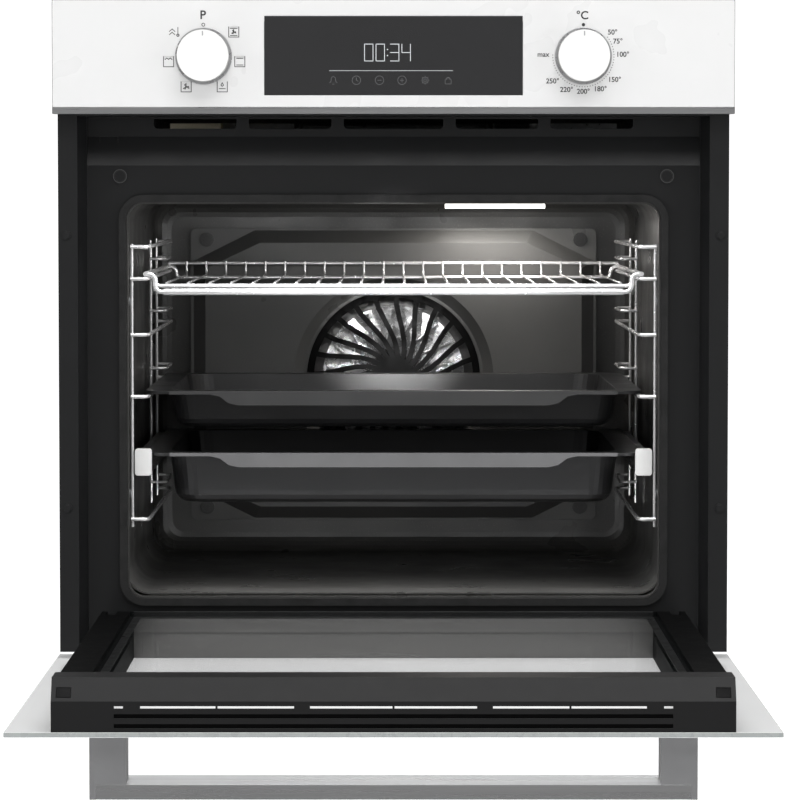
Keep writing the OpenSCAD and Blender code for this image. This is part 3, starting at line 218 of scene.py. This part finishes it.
# white back paint of the outer pane, with an emission that makes it glow: painted light
pane_white_painted_glow = surface("pane_white_painted_glow", (0.6, 0.6, 0.6), 0.5, spread=0.01, scale=4, grain=(90, 0.01),
                     emission_color=(1.0, 1.0, 1.0, 1.0), emission_strength=0.5)
lens_glow = glow("lens_glow", (1.0, 0.98, 0.93), 3.0)
bulb_glow = glow("bulb_glow", (1.0, 0.82, 0.55), 6.0)
# black for the door's printed border, also used as painted shade on the frame's pressings
print_and_shade_black = surface("print_and_shade_black", (0.012, 0.012, 0.012), 0.35, spread=0.04)
print_grey = surface("print_grey", (0.02, 0.02, 0.021), 0.45, spread=0.04)
# pale grey for the rims of the frame's pressed rings: painted highlight
ring_highlight_grey = surface("ring_highlight_grey", (0.07, 0.07, 0.071), 0.4, spread=0.04)
display_lit = glow("display_lit", (0.6, 0.62, 0.64), 0.3)
display_dim = surface("display_dim", (0.13, 0.132, 0.135), 0.4, spread=0.03)
# grey for the fascia's folded edges and the knobs' grooves: painted shade
painted_shade_grey = surface("painted_shade_grey", (0.36, 0.36, 0.365), 0.35, spread=0.03)

FINISH = {
    "front_frame": black_enamel, "cavity_liner": cavity_enamel, "door_gasket": gasket_rubber,
    "insulation_blanket": wool, "back_baffle": baffle_enamel, "fan_grille": grille_enamel,
    "baffle_screws": dark_screw, "fan_motor": motor_paint, "convection_fan": fan_metal,
    "ring_heater": heater_tube, "grill_heater": heater_tube, "bottom_heater": heater_tube,
    "lamp_bulb": bulb_glow, "lamp_lens": lens_glow,
    "side_rack_left": chrome, "side_rack_right": chrome, "inner_rails": chrome, "rail_caps": cap_plastic,
    "wire_shelf": chrome, "baking_tray": tray_enamel, "deep_tray": deep_tray_enamel,
    "air_duct": shadow_steel, "middle_rails": shadow_steel, "control_fascia": white_paint,
    "fascia_trim": trim_metal, "display_glass": black_glass, "control_board": board_green,
    "selector_switch": cream_plastic, "selector_shaft": dull_steel, "thermostat_shaft": dull_steel,
    "function_knob": knob_plastic, "temperature_knob": knob_plastic, "knob_bezels": knob_ring,
    "cooling_fan_motor": motor_paint, "terminal_block": cream_plastic, "door_glass_outer": white_glass,
    "door_glass_middle": middle_glass, "door_glass_inner": clear_glass, "door_side_frames": frame_plastic,
    "door_top_trim": dark_plastic, "door_bottom_rail": dark_plastic, "release_button_left": button_plastic,
    "release_button_right": button_plastic, "handle_bar": brushed, "handle_posts": post_metal,
    "hinge_arms": dull_steel, "hinge_channels": dull_steel,
}

# the fan's disc is turned, so its highlights run out from the middle
fan_tree = fan_metal.node_tree
turned = fan_tree.nodes.new("ShaderNodeTangent")
turned.direction_type = "RADIAL"
turned.axis = "Y"
fan_tree.links.new(turned.outputs["Tangent"], fan_tree.nodes["Principled BSDF"].inputs["Tangent"])

for node_name, node in nodes.items():
    for material_slot in node.material_slots:
        material_slot.link = "OBJECT"
        material_slot.material = FINISH.get(node_name, galvanised)


# ---------- mesh helpers ----------

def piece(name, bm, material, body):
    """Makes the mesh a visible piece that rides a body and fills a material slot."""
    mesh = bpy.data.meshes.new(name)
    bmesh.ops.recalc_face_normals(bm, faces=bm.faces)
    bm.to_mesh(mesh)
    bm.free()
    mesh.materials.append(material)
    obj = bpy.data.objects.new(name, mesh)
    bpy.context.scene.collection.objects.link(obj)
    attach(obj, body)


def add_box(bm, low, high):
    size = Vector(high) - Vector(low)
    centre = (Vector(high) + Vector(low)) / 2
    matrix = Matrix.Translation(centre) @ Matrix.Diagonal((*size, 1))
    bmesh.ops.create_cube(bm, size=1, matrix=matrix)


def add_disc(bm, centre, axis, r, depth, segments=32):
    """A closed cylinder whose base lies at centre and which rises by depth along axis."""
    turn = Vector((0, 0, 1)).rotation_difference(Vector(axis)).to_matrix().to_4x4()
    matrix = Matrix.Translation(Vector(centre) + Vector(axis) * depth / 2) @ turn
    bmesh.ops.create_cone(bm, cap_ends=True, segments=segments, radius1=r, radius2=r, depth=depth,
                          matrix=matrix)


def add_ring(bm, centre, r_in, r_out, y, thick, start=0, sweep=360, segments=48):
    """A flat ring or arc in the fascia's plane, from y towards the viewer."""
    closed = sweep == 360
    count = segments if closed else segments + 1
    rows = []
    for i in range(count):
        a = math.radians(start + sweep * i / segments)
        rows.append([bm.verts.new((centre[0] + r * math.cos(a), d, centre[1] + r * math.sin(a)))
                     for r, d in ((r_in, y), (r_out, y), (r_out, y - thick), (r_in, y - thick))])
    for i in range(count if closed else count - 1):
        near, far = rows[i], rows[(i + 1) % count]
        for k in range(4):
            bm.faces.new((near[k], near[(k + 1) % 4], far[(k + 1) % 4], far[k]))
    if not closed:
        bm.faces.new(rows[0])
        bm.faces.new(rows[-1])


def add_stroke(bm, points, width, y, thick):
    """A printed line in the fascia's plane: one thin box for each stretch."""
    for (x0, z0), (x1, z1) in zip(points, points[1:]):
        along = Vector((x1 - x0, 0, z1 - z0))
        length = along.length + width * 0.8
        turn = Vector((1, 0, 0)).rotation_difference(along.normalized()).to_matrix().to_4x4()
        middle = Vector(((x0 + x1) / 2, y - thick / 2, (z0 + z1) / 2))
        bmesh.ops.create_cube(bm, size=1, matrix=Matrix.Translation(middle) @ turn
                              @ Matrix.Diagonal((length, thick, width, 1)))


# height of a capital in the built-in font at size 1, and how much its strokes are fattened
CAP_HEIGHT = 0.69
BOLDER = 0.018


def add_text(bm, text, centre, height, y, thick):
    """Figures on the fascia as closed geometry, as high as given and centred."""
    curve = bpy.data.curves.new("label", "FONT")
    curve.body = text
    curve.size = 1
    curve.extrude = 0.5
    curve.offset = BOLDER
    obj = bpy.data.objects.new("label", curve)
    bpy.context.scene.collection.objects.link(obj)
    bpy.context.view_layer.update()
    mesh = bpy.data.meshes.new_from_object(obj.evaluated_get(bpy.context.evaluated_depsgraph_get()))
    bpy.data.objects.remove(obj)
    xs = [v.co.x for v in mesh.vertices]
    ys = [v.co.y for v in mesh.vertices]
    scale = height / CAP_HEIGHT
    middle = ((max(xs) + min(xs)) / 2, (max(ys) + min(ys)) / 2)
    for v in mesh.vertices:
        x, z, depth = v.co
        v.co = ((x - middle[0]) * scale + centre[0], y - (depth + 0.5) * thick,
                (z - middle[1]) * scale + centre[1])
    bm.from_mesh(mesh)
    bpy.data.meshes.remove(mesh)


# ---------- control panel ----------

fascia_lo, fascia_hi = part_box("control_fascia")
FRONT = fascia_lo.y
# thickness and line width of what is printed on the fascia
PRINT_T = 0.06 * MM
LINE = 0.65 * MM


def knob_centre(node_name):
    lo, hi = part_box(node_name)
    return (lo.x + hi.x) / 2, (lo.z + hi.z) / 2


left = knob_centre("function_knob")
right = knob_centre("temperature_knob")


def around(centre, x, z):
    return centre[0] + x * MM, centre[1] + z * MM


def square(cx, cz, half):
    return [(cx - half, cz - half), (cx + half, cz - half), (cx + half, cz + half), (cx - half, cz + half),
            (cx - half, cz - half)]


def function_marks():
    """The symbols printed round the left knob."""
    bm = bmesh.new()
    half = 4.4 * MM

    def at(x, z):
        return around(left, x, z)

    def strokes(points):
        add_stroke(bm, points, LINE, FRONT, PRINT_T)

    def fan(cx, cz, r):
        for k in range(3):
            a = math.radians(90 + 120 * k)
            tip = (cx + r * math.cos(a), cz + r * math.sin(a))
            side = (cx + 0.75 * r * math.cos(a + 0.7), cz + 0.75 * r * math.sin(a + 0.7))
            strokes([(cx, cz), tip, side, (cx, cz)])

    add_text(bm, "P", at(-0.3, 35.8), 7.2 * MM, FRONT, PRINT_T)
    add_ring(bm, at(-0.2, 27.2), 1.0 * MM, 1.6 * MM, FRONT, PRINT_T, segments=24)
    # defrost: two waves and a thermometer
    cx, cz = at(-25.3, 20.9)
    for dz in (-2.4, 0.4):
        strokes([(cx - half, cz + dz * MM), (cx - 2 * MM, cz + (dz + 2.2) * MM),
                 (cx + 0.4 * MM, cz + dz * MM)])
    strokes([(cx + 3 * MM, cz + 4 * MM), (cx + 3 * MM, cz - 1.6 * MM)])
    add_ring(bm, (cx + 3 * MM, cz - 2.8 * MM), 0.5 * MM, 1.4 * MM, FRONT, PRINT_T, segments=20)
    # fan between top and bottom heat
    cx, cz = at(26.2, 20.9)
    strokes(square(cx, cz, half))
    fan(cx, cz, 2.1 * MM)
    for dz in (-3.1, 3.1):
        strokes([(cx - 3 * MM, cz + dz * MM), (cx + 3 * MM, cz + dz * MM)])
    # top and bottom heat
    cx, cz = at(31.4, -4.8)
    strokes(square(cx, cz, half))
    for dz in (-2.9, 2.9):
        strokes([(cx - 2.8 * MM, cz + dz * MM), (cx + 2.8 * MM, cz + dz * MM)])
    # steam: a bowl under a drop
    cx, cz = at(16.1, -26.6)
    strokes([(cx - half, cz + half), (cx - half, cz - half), (cx + half, cz - half),
             (cx + half, cz + half)])
    strokes([(cx - 2.6 * MM, cz - 1.6 * MM), (cx + 2.6 * MM, cz - 1.6 * MM)])
    strokes([(cx, cz + 3.6 * MM), (cx - 1.1 * MM, cz + 1.4 * MM), (cx, cz + 0.4 * MM),
             (cx + 1.1 * MM, cz + 1.4 * MM), (cx, cz + 3.6 * MM)])
    # fan alone
    cx, cz = at(-15.3, -26.6)
    strokes(square(cx, cz, half))
    fan(cx, cz, 2.8 * MM)
    # grill
    cx, cz = at(-30.5, -4.8)
    strokes(square(cx, cz, half))
    strokes([(cx - 3 * MM + k * 1.5 * MM, cz + (3.1 if k % 2 else 1.9) * MM) for k in range(5)])
    piece("function_marks", bm, print_grey, "chassis")


def temperature_marks():
    """The figures and the arc of dots printed round the right knob."""
    bm = bmesh.new()
    labels = [("50°", 25.3, 20.9), ("75°", 29.9, 13.1), ("100°", 34.6, 1.7), ("150°", 27.6, -20.1),
              ("180°", 15.2, -28.2), ("200°", 0, -30.4), ("220°", -14.6, -28.8), ("250°", -26.8, -21.4),
              ("max", -34.6, 0.9)]
    for text, x, z in labels:
        add_text(bm, text, around(right, x, z), 4.2 * MM, FRONT, PRINT_T)
    add_text(bm, "°C", around(right, -0.9, 35.6), 6.8 * MM, FRONT, PRINT_T)
    add_disc(bm, (right[0], FRONT, right[1] + 27.2 * MM), (0, -1, 0), 1.5 * MM, PRINT_T, 24)
    start, end, count, arc_r, dot_r = 38, -182, 45, 26.6 * MM, 0.42 * MM
    for i in range(count):
        a = math.radians(start + (end - start) * i / (count - 1))
        x, z = right[0] + arc_r * math.cos(a), right[1] + arc_r * math.sin(a)
        add_disc(bm, (x, FRONT, z), (0, -1, 0), dot_r, PRINT_T, 10)
    piece("temperature_marks", bm, print_grey, "chassis")


def knob_groove_shading(node_name, body):
    """The short groove at the top of the knob's face, drawn as a flat grey mark: painted shade."""
    cx, _ = knob_centre(node_name)
    lo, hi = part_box(node_name)
    bm = bmesh.new()
    half, proud, sunk = 0.6 * MM, 0.05 * MM, 0.4 * MM
    add_box(bm, (cx - half, lo.y - proud, hi.z - 5.2 * MM), (cx + half, lo.y + sunk, hi.z - 1.2 * MM))
    piece(node_name + "_groove_mark_shade", bm, painted_shade_grey, body)


# the strokes of each figure on the clock, and where each stroke ends in a unit cell
SEGMENTS = {"0": "abcdef", "3": "abcdg", "4": "bcfg"}
SEGMENT_ENDS = {
    "a": ((0, 1), (1, 1)), "b": ((1, 1), (1, 0.5)), "c": ((1, 0.5), (1, 0)), "d": ((0, 0), (1, 0)),
    "e": ((0, 0.5), (0, 0)), "f": ((0, 1), (0, 0.5)), "g": ((0, 0.5), (1, 0.5)),
}


def display_marks():
    """The clock with the line under it, and the row of touch icons."""
    lo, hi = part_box("display_glass")
    y = lo.y
    mid = ((lo.x + hi.x) / 2, (lo.z + hi.z) / 2)
    bm = bmesh.new()
    w, h, line = 7.4 * MM, 14.6 * MM, 0.55 * MM
    cz = mid[1] + 2.6 * MM
    for digit, dx in zip("0034", (-21.5, -11.5, 1.0, 11.0)):
        x0 = mid[0] + dx * MM - w / 2
        for key in SEGMENTS[digit]:
            points = [(x0 + u * w, cz - h / 2 + v * h) for u, v in SEGMENT_ENDS[key]]
            add_stroke(bm, points, line, y, PRINT_T)
    for dz in (-2.6, 2.6):
        add_disc(bm, (mid[0] - 5.2 * MM, y, cz + dz * MM), (0, -1, 0), 0.55 * MM, PRINT_T, 12)
    bar_z = mid[1] - 13.1 * MM
    add_stroke(bm, [(mid[0] - 55.8 * MM, bar_z), (mid[0] + 51.5 * MM, bar_z)], 0.35 * MM, y, PRINT_T)
    piece("display_marks", bm, display_lit, "chassis")
    bm = bmesh.new()
    z = mid[1] - 21.4 * MM
    line = 0.38 * MM

    def strokes(points):
        add_stroke(bm, points, line, y, PRINT_T)

    def ring(x, r):
        add_ring(bm, (x, z), r - line / 2, r + line / 2, y, PRINT_T, segments=28)

    # bell
    x = mid[0] - 52.3 * MM
    strokes([(x + dx * MM, z + dz * MM) for dx, dz in (
        (-3.4, -2.2), (-2, -1), (-1.8, 2), (0, 3.6), (1.8, 2), (2, -1), (3.4, -2.2), (-3.4, -2.2))])
    strokes([(x - 0.8 * MM, z - 3.4 * MM), (x + 0.8 * MM, z - 3.4 * MM)])
    # clock
    x = mid[0] - 32.3 * MM
    ring(x, 3.7 * MM)
    strokes([(x, z + 2.2 * MM), (x, z), (x + 1.6 * MM, z - 0.8 * MM)])
    # minus and plus
    for x in (mid[0] - 12.2 * MM, mid[0] + 7.4 * MM):
        ring(x, 3.7 * MM)
        strokes([(x - 1.6 * MM, z), (x + 1.6 * MM, z)])
    strokes([(x, z - 1.6 * MM), (x, z + 1.6 * MM)])
    # gear
    x = mid[0] + 27.5 * MM
    ring(x, 2.6 * MM)
    ring(x, 1.2 * MM)
    for k in range(8):
        a = math.radians(45 * k)
        strokes([(x + r * MM * math.cos(a), z + r * MM * math.sin(a)) for r in (2.8, 3.7)])
    # lock
    x = mid[0] + 47.5 * MM
    strokes([(x - 2.6 * MM, z - 3.2 * MM), (x + 2.6 * MM, z - 3.2 * MM), (x + 2.6 * MM, z + 0.6 * MM),
             (x - 2.6 * MM, z + 0.6 * MM), (x - 2.6 * MM, z - 3.2 * MM)])
    add_ring(bm, (x, z + 0.6 * MM), 1.45 * MM, 1.95 * MM, y, PRINT_T, 0, 180, 16)
    piece("display_icons", bm, display_dim, "chassis")


def fascia_fold_shade():
    """Grey strips along the folded edges down the two ends of the fascia and along its top: painted shade.
    """
    bm = bmesh.new()
    wide = 0.7 * MM
    for x in (fascia_lo.x, fascia_hi.x - wide):
        add_box(bm, (x, FRONT - PRINT_T, fascia_lo.z), (x + wide, FRONT, fascia_hi.z))
    add_box(bm, (fascia_lo.x + wide, FRONT - PRINT_T, fascia_hi.z - wide),
            (fascia_hi.x - wide, FRONT, fascia_hi.z))
    piece("fascia_fold_shade", bm, painted_shade_grey, "chassis")


fascia_fold_shade()
function_marks()
temperature_marks()
knob_groove_shading("function_knob", "function_knob")
knob_groove_shading("temperature_knob", "temperature_knob")
display_marks()


# ---------- door ----------

def plain_box(name, low, high, material, body):
    bm = bmesh.new()
    add_box(bm, low, high)
    piece(name, bm, material, body)


def door_details():
    """The door's backing, white with a painted glow, heat shield, ground edges, groove floors darkened as
    painted shade, and printed border.
    """
    pane_lo, pane_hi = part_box("door_glass_outer")
    rail_lo, rail_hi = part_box("door_bottom_rail")
    trim_lo, trim_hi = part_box("door_top_trim")
    inner_lo, inner_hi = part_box("door_glass_inner")
    hair = 0.12 * MM
    wall = 3 * MM
    # the backing's white is its real paint; its glow is painted light
    plain_box("pane_backing", (rail_lo.x, trim_lo.y + wall, pane_hi.z + hair / 2),
              (rail_hi.x, rail_lo.y - hair, pane_hi.z + 2 * hair), pane_white_painted_glow, "door")
    plain_box("heat_shield", (rail_lo.x + hair, rail_lo.y - 0.8 * MM, pane_hi.z + 0.6 * MM),
              (rail_hi.x - hair, rail_lo.y - hair, inner_lo.z - 0.4 * MM), shield_steel, "door")
    # the ground edges of the outer pane, a hair proud of its four sides
    bm = bmesh.new()
    z0, z1 = pane_lo.z + 0.3 * MM, pane_hi.z - 0.3 * MM
    add_box(bm, (pane_lo.x, pane_lo.y - hair, z0), (pane_hi.x, pane_lo.y, z1))
    for x in (pane_lo.x, pane_hi.x):
        add_box(bm, (x - hair, pane_lo.y, z0), (x + hair, pane_hi.y, z1))
    piece("pane_edges", bm, glass_edge, "door")
    # painted shade: a darker strip on the floor of each of the trim's two grooves
    bm = bmesh.new()
    floor_y, groove_end = trim_lo.y + 1.2 * MM, 48 * MM
    for low, high in ((3.2, 6.4), (10.8, 14.0)):
        add_box(bm, (trim_lo.x + groove_end, floor_y - hair, pane_hi.z + low * MM),
                (trim_hi.x - groove_end, floor_y, pane_hi.z + high * MM))
    piece("trim_groove_floors_shaded", bm, groove_shade_plastic, "door")
    # black border printed under the inner pane
    bm = bmesh.new()
    z = inner_lo.z - hair
    far, near = inner_hi.y - 16 * MM, inner_lo.y + 9 * MM
    for y0, y1 in ((far, inner_hi.y - 5 * MM), (inner_lo.y + 1 * MM, near)):
        add_box(bm, (rail_lo.x + hair, y0, z), (rail_hi.x - hair, y1, inner_lo.z - hair / 4))
    for x in (rail_lo.x, rail_hi.x):
        inward = 7 * MM if x < 0 else -7 * MM
        add_box(bm, (min(x, x + inward) + hair, near, z),
                (max(x, x + inward) - hair, far, inner_lo.z - hair / 4))
    piece("pane_border", bm, print_and_shade_black, "door")


def pan_head(bm, place, axis, rim, dome, segments):
    """A screw's head: a flat rim with a narrower dome on it, both as (radius, height)."""
    add_disc(bm, place, axis, *rim, segments)
    add_disc(bm, Vector(place) + Vector(axis) * rim[1], axis, *dome, segments)


def cabinet_screws():
    """Black pan-head screws in the flange's four holes."""
    frame_lo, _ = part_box("front_frame")
    mount = next(m for m in frame["record"]["mounts"] if m["name"] == "cabinet_screws")
    half_x = mount["dims"]["spacing_x_mm"] / 2 * MM
    half_z = mount["dims"]["spacing_y_mm"] / 2 * MM
    centre = mount["pos_m"]
    shank, rim, dome = (2.2 * MM, 1.4 * MM), (4.2 * MM, 0.9 * MM), (3.1 * MM, 0.5 * MM)
    bm = bmesh.new()
    for sx in (-1, 1):
        for sz in (-1, 1):
            x, z = centre[0] + sx * half_x, centre[2] + sz * half_z
            place = (x, frame_lo.y, z)
            add_disc(bm, place, (0, 1, 0), *shank, 24)
            pan_head(bm, place, (0, -1, 0), rim, dome, 32)
    piece("cabinet_screw_heads", bm, black_enamel, "chassis")


def baffle_washers():
    """The pressed ring round each of the baffle's screws."""
    lo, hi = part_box("baffle_screws")
    screw_r = 7 * MM
    bm = bmesh.new()
    for x in (lo.x + screw_r, hi.x - screw_r):
        for z in (lo.z + screw_r, hi.z - screw_r):
            add_ring(bm, (x, z), 4.6 * MM, 5.4 * MM, lo.y, 0.5 * MM, segments=32)
            add_ring(bm, (x, z), 1.6 * MM, 2.4 * MM, lo.y, 0.3 * MM, segments=24)
    piece("baffle_washers", bm, dark_screw, "chassis")


def frame_surface(x, z):
    """How far back the front frame's face lies at a point, from a ray cast from in front."""
    hit, place, _, _ = nodes["front_frame"].ray_cast(Vector((x, -0.1, z)), Vector((0, 1, 0)))
    if not hit:
        raise RuntimeError("the front frame has no face at x %.3f, z %.3f" % (x, z))
    return place.y


def frame_pressing_shade():
    """Painted shade and painted highlight for the two pressed rings and the stamped tab on the front frame:
    dark rings with a pale rim, and a dark outline round the tab.
    """
    seal_lo, seal_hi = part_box("door_gasket")
    dark, pale = bmesh.new(), bmesh.new()
    thick = 0.15 * MM
    inner, outer, rim = 4.6 * MM, 5.6 * MM, 6.1 * MM
    z = seal_hi.z + 16.2 * MM
    for x in (seal_lo.x + 1.2 * MM, seal_hi.x - 1.2 * MM):
        y = frame_surface(x, z)
        add_ring(dark, (x, z), inner, outer, y, thick, segments=40)
        add_ring(pale, (x, z), outer, rim, y, thick, segments=40)
    x0, x1 = seal_lo.x - 17 * MM, seal_lo.x - 1 * MM
    z0, z1 = seal_hi.z + 40.5 * MM, seal_hi.z + 51.5 * MM
    y = frame_surface((x0 + x1) / 2, (z0 + z1) / 2)
    cut = 3 * MM
    outline = [(x0, z1), (x1, z1), (x1, z0 + cut), (x1 - cut, z0), (x0, z0), (x0, z1)]
    add_stroke(dark, outline, 0.5 * MM, y, thick)
    # the dark rings and tab outline are painted shade; the pale rims are painted highlight
    piece("frame_ring_shade", dark, print_and_shade_black, "chassis")
    piece("frame_ring_highlights", pale, ring_highlight_grey, "chassis")


def panel_screws():
    """Sheet-metal screws along the edges of the rear, side and top panels."""
    rear_lo, rear_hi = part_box("rear_cover")
    first, pitch = 40, 165
    bm = bmesh.new()

    def screw(place, axis):
        pan_head(bm, place, axis, (4.0 * MM, 1.2 * MM), (2.9 * MM, 0.5 * MM), 24)

    for x in (rear_lo.x + 14 * MM, rear_hi.x - 14 * MM):
        for k in range(4):
            screw((x, rear_hi.y, rear_lo.z + (first + pitch * k) * MM), (0, 1, 0))
    for name, sign in (("side_panel_left", -1), ("side_panel_right", 1)):
        lo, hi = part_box(name)
        x = lo.x if sign < 0 else hi.x
        for y in (lo.y + 16 * MM, hi.y - 12 * MM):
            for z in (lo.z + 60 * MM, hi.z - 40 * MM):
                screw((x, y, z), (sign, 0, 0))
    lo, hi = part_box("top_cover")
    for x in (lo.x + 30 * MM, hi.x - 30 * MM):
        for y in (lo.y + 16 * MM, hi.y - 12 * MM):
            screw((x, y, hi.z), (0, 0, 1))
    piece("panel_screws", bm, dull_steel, "chassis")


door_details()
panel_screws()
cabinet_screws()
baffle_washers()
frame_pressing_shade()


# ---------- floor, light and camera ----------

def stage_ring(name, profile, emission, closed=False):
    """A round white surface: a profile of (radius, height) turned about the oven, filled if closed."""
    bm = bmesh.new()
    count = 64
    turns = [2 * math.pi * k / count for k in range(count)]
    rings = [[bm.verts.new((r * math.cos(a), r * math.sin(a), z)) for a in turns] for r, z in profile]
    for lower, upper in zip(rings, rings[1:]):
        for k in range(count):
            bm.faces.new((lower[k], lower[(k + 1) % count], upper[(k + 1) % count], upper[k]))
    if closed:
        bm.faces.new(rings[0])
    mesh = bpy.data.meshes.new(name)
    bmesh.ops.recalc_face_normals(bm, faces=bm.faces)
    bm.to_mesh(mesh)
    bm.free()
    for face in mesh.polygons:
        face.use_smooth = True
    white = surface(name + "_white", (0.92, 0.92, 0.92), 0.9, spread=0.005, scale=3, grain=(60, 0.01),
                    emission_color=(1.0, 1.0, 1.0, 1.0), emission_strength=emission)
    mesh.materials.append(white)
    obj = bpy.data.objects.new(name, mesh)
    bpy.context.scene.collection.objects.link(obj)
    obj.visible_glossy = False
    return obj


def stage_floor():
    """A pale round floor, and far off a wall that neither shades the oven nor shows in reflections."""
    low, near, radius, bend, top = -0.30, 3.0, 13.0, 2.0, 9.0
    stage_ring("floor", [(1.0, low), (near, low)], 0.6, closed=True)
    curve = [(radius - bend + bend * math.sin(a), low + bend - bend * math.cos(a))
             for a in (math.radians(9 * k) for k in range(11))]
    wall = stage_ring("wall", [(near, low)] + curve + [(radius, top)], 0.8)
    wall.visible_diffuse = False
    wall.visible_shadow = False


def add_light(name, kind, place, target, power):
    """A light at place that points at target."""
    light = bpy.data.lights.new(name, kind)
    light.energy = power
    obj = bpy.data.objects.new(name, light)
    obj.location = place
    obj.rotation_euler = (Vector(target) - Vector(place)).to_track_quat("-Z", "Y").to_euler()
    bpy.context.scene.collection.objects.link(obj)
    return obj


def area_light(name, place, target, size, power, color=(1, 1, 1)):
    obj = add_light(name, "AREA", place, target, power)
    obj.data.shape = "RECTANGLE"
    obj.data.size, obj.data.size_y = size
    obj.data.color = color
    obj.visible_camera = False


def spot_light(name, place, target, power, angle, size):
    obj = add_light(name, "SPOT", place, target, power)
    obj.data.spot_size = math.radians(angle)
    obj.data.spot_blend = 0.3
    obj.data.shadow_soft_size = size


stage_floor()
area_light("key", (0.4, -2.6, 2.9), (0, 0.0, 0.3), size=(2.6, 1.6), power=50)
area_light("fill_left", (-2.8, -1.8, 1.2), (0, -0.1, 0.3), size=(1.6, 2.2), power=22)
area_light("fill_right", (2.8, -1.8, 1.0), (0, -0.1, 0.3), size=(1.6, 2.2), power=20)
area_light("overhead", (0, -0.5, 2.7), (0, -0.3, 0), size=(2.4, 1.2), power=46)
lens_lo, lens_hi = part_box("lamp_lens")
lens_x = (lens_lo.x + lens_hi.x) / 2
area_light("oven_lamp", (lens_x, (lens_lo.y + lens_hi.y) / 2 - 0.02, lens_lo.z - 0.004),
           (lens_x - 0.02, lens_lo.y - 0.05, 0), size=(0.09, 0.05), power=0.35, color=(1.0, 0.95, 0.9))
liner_lo, liner_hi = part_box("cavity_liner")
area_light("cavity_fill", (0, liner_lo.y + 0.01, liner_hi.z - 0.04), (0, 0.3, liner_lo.z),
           size=(0.4, 0.03), power=0.5)
area_light("cavity_low_fill", (0, liner_lo.y + 0.012, liner_lo.z + 0.07),
           (0, liner_lo.y + 0.07, liner_lo.z), size=(0.42, 0.02), power=0.3)

# three narrow lights that the turned fan disc catches
fan_lo, fan_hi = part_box("fan_grille")
fan_middle = Vector((0, fan_hi.y, (fan_lo.z + fan_hi.z) / 2))
for index, (x, z) in enumerate(((-0.62, 0.44), (0.0, 0.62), (0.62, 0.44))):
    spot_light("fan_light_%d" % index, fan_middle + Vector((x, -2.6, z)),
               fan_middle + Vector((0, 0, 0.03)), power=300, angle=2.3, size=0.03)

world = bpy.data.worlds.new("studio")
bpy.context.scene.world = world
world.use_nodes = True
world.node_tree.nodes["Background"].inputs["Color"].default_value = (1.0, 1.0, 1.0, 1.0)
world.node_tree.nodes["Background"].inputs["Strength"].default_value = 0.34

camera_data = bpy.data.cameras.new("camera")
camera_data.sensor_width = 36
camera_data.lens = 170.8
camera_data.clip_end = 50
camera = bpy.data.objects.new("camera", camera_data)
camera_distance, camera_height, camera_tilt = 3.332, 0.430, 3.17
camera.location = (0, -camera_distance, camera_height)
camera.rotation_euler = (math.radians(90 - camera_tilt), 0, 0)
bpy.context.scene.collection.objects.link(camera)
bpy.context.scene.camera = camera
bpy.context.scene.view_settings.view_transform = "Standard"
bpy.context.scene.view_settings.look = "None"
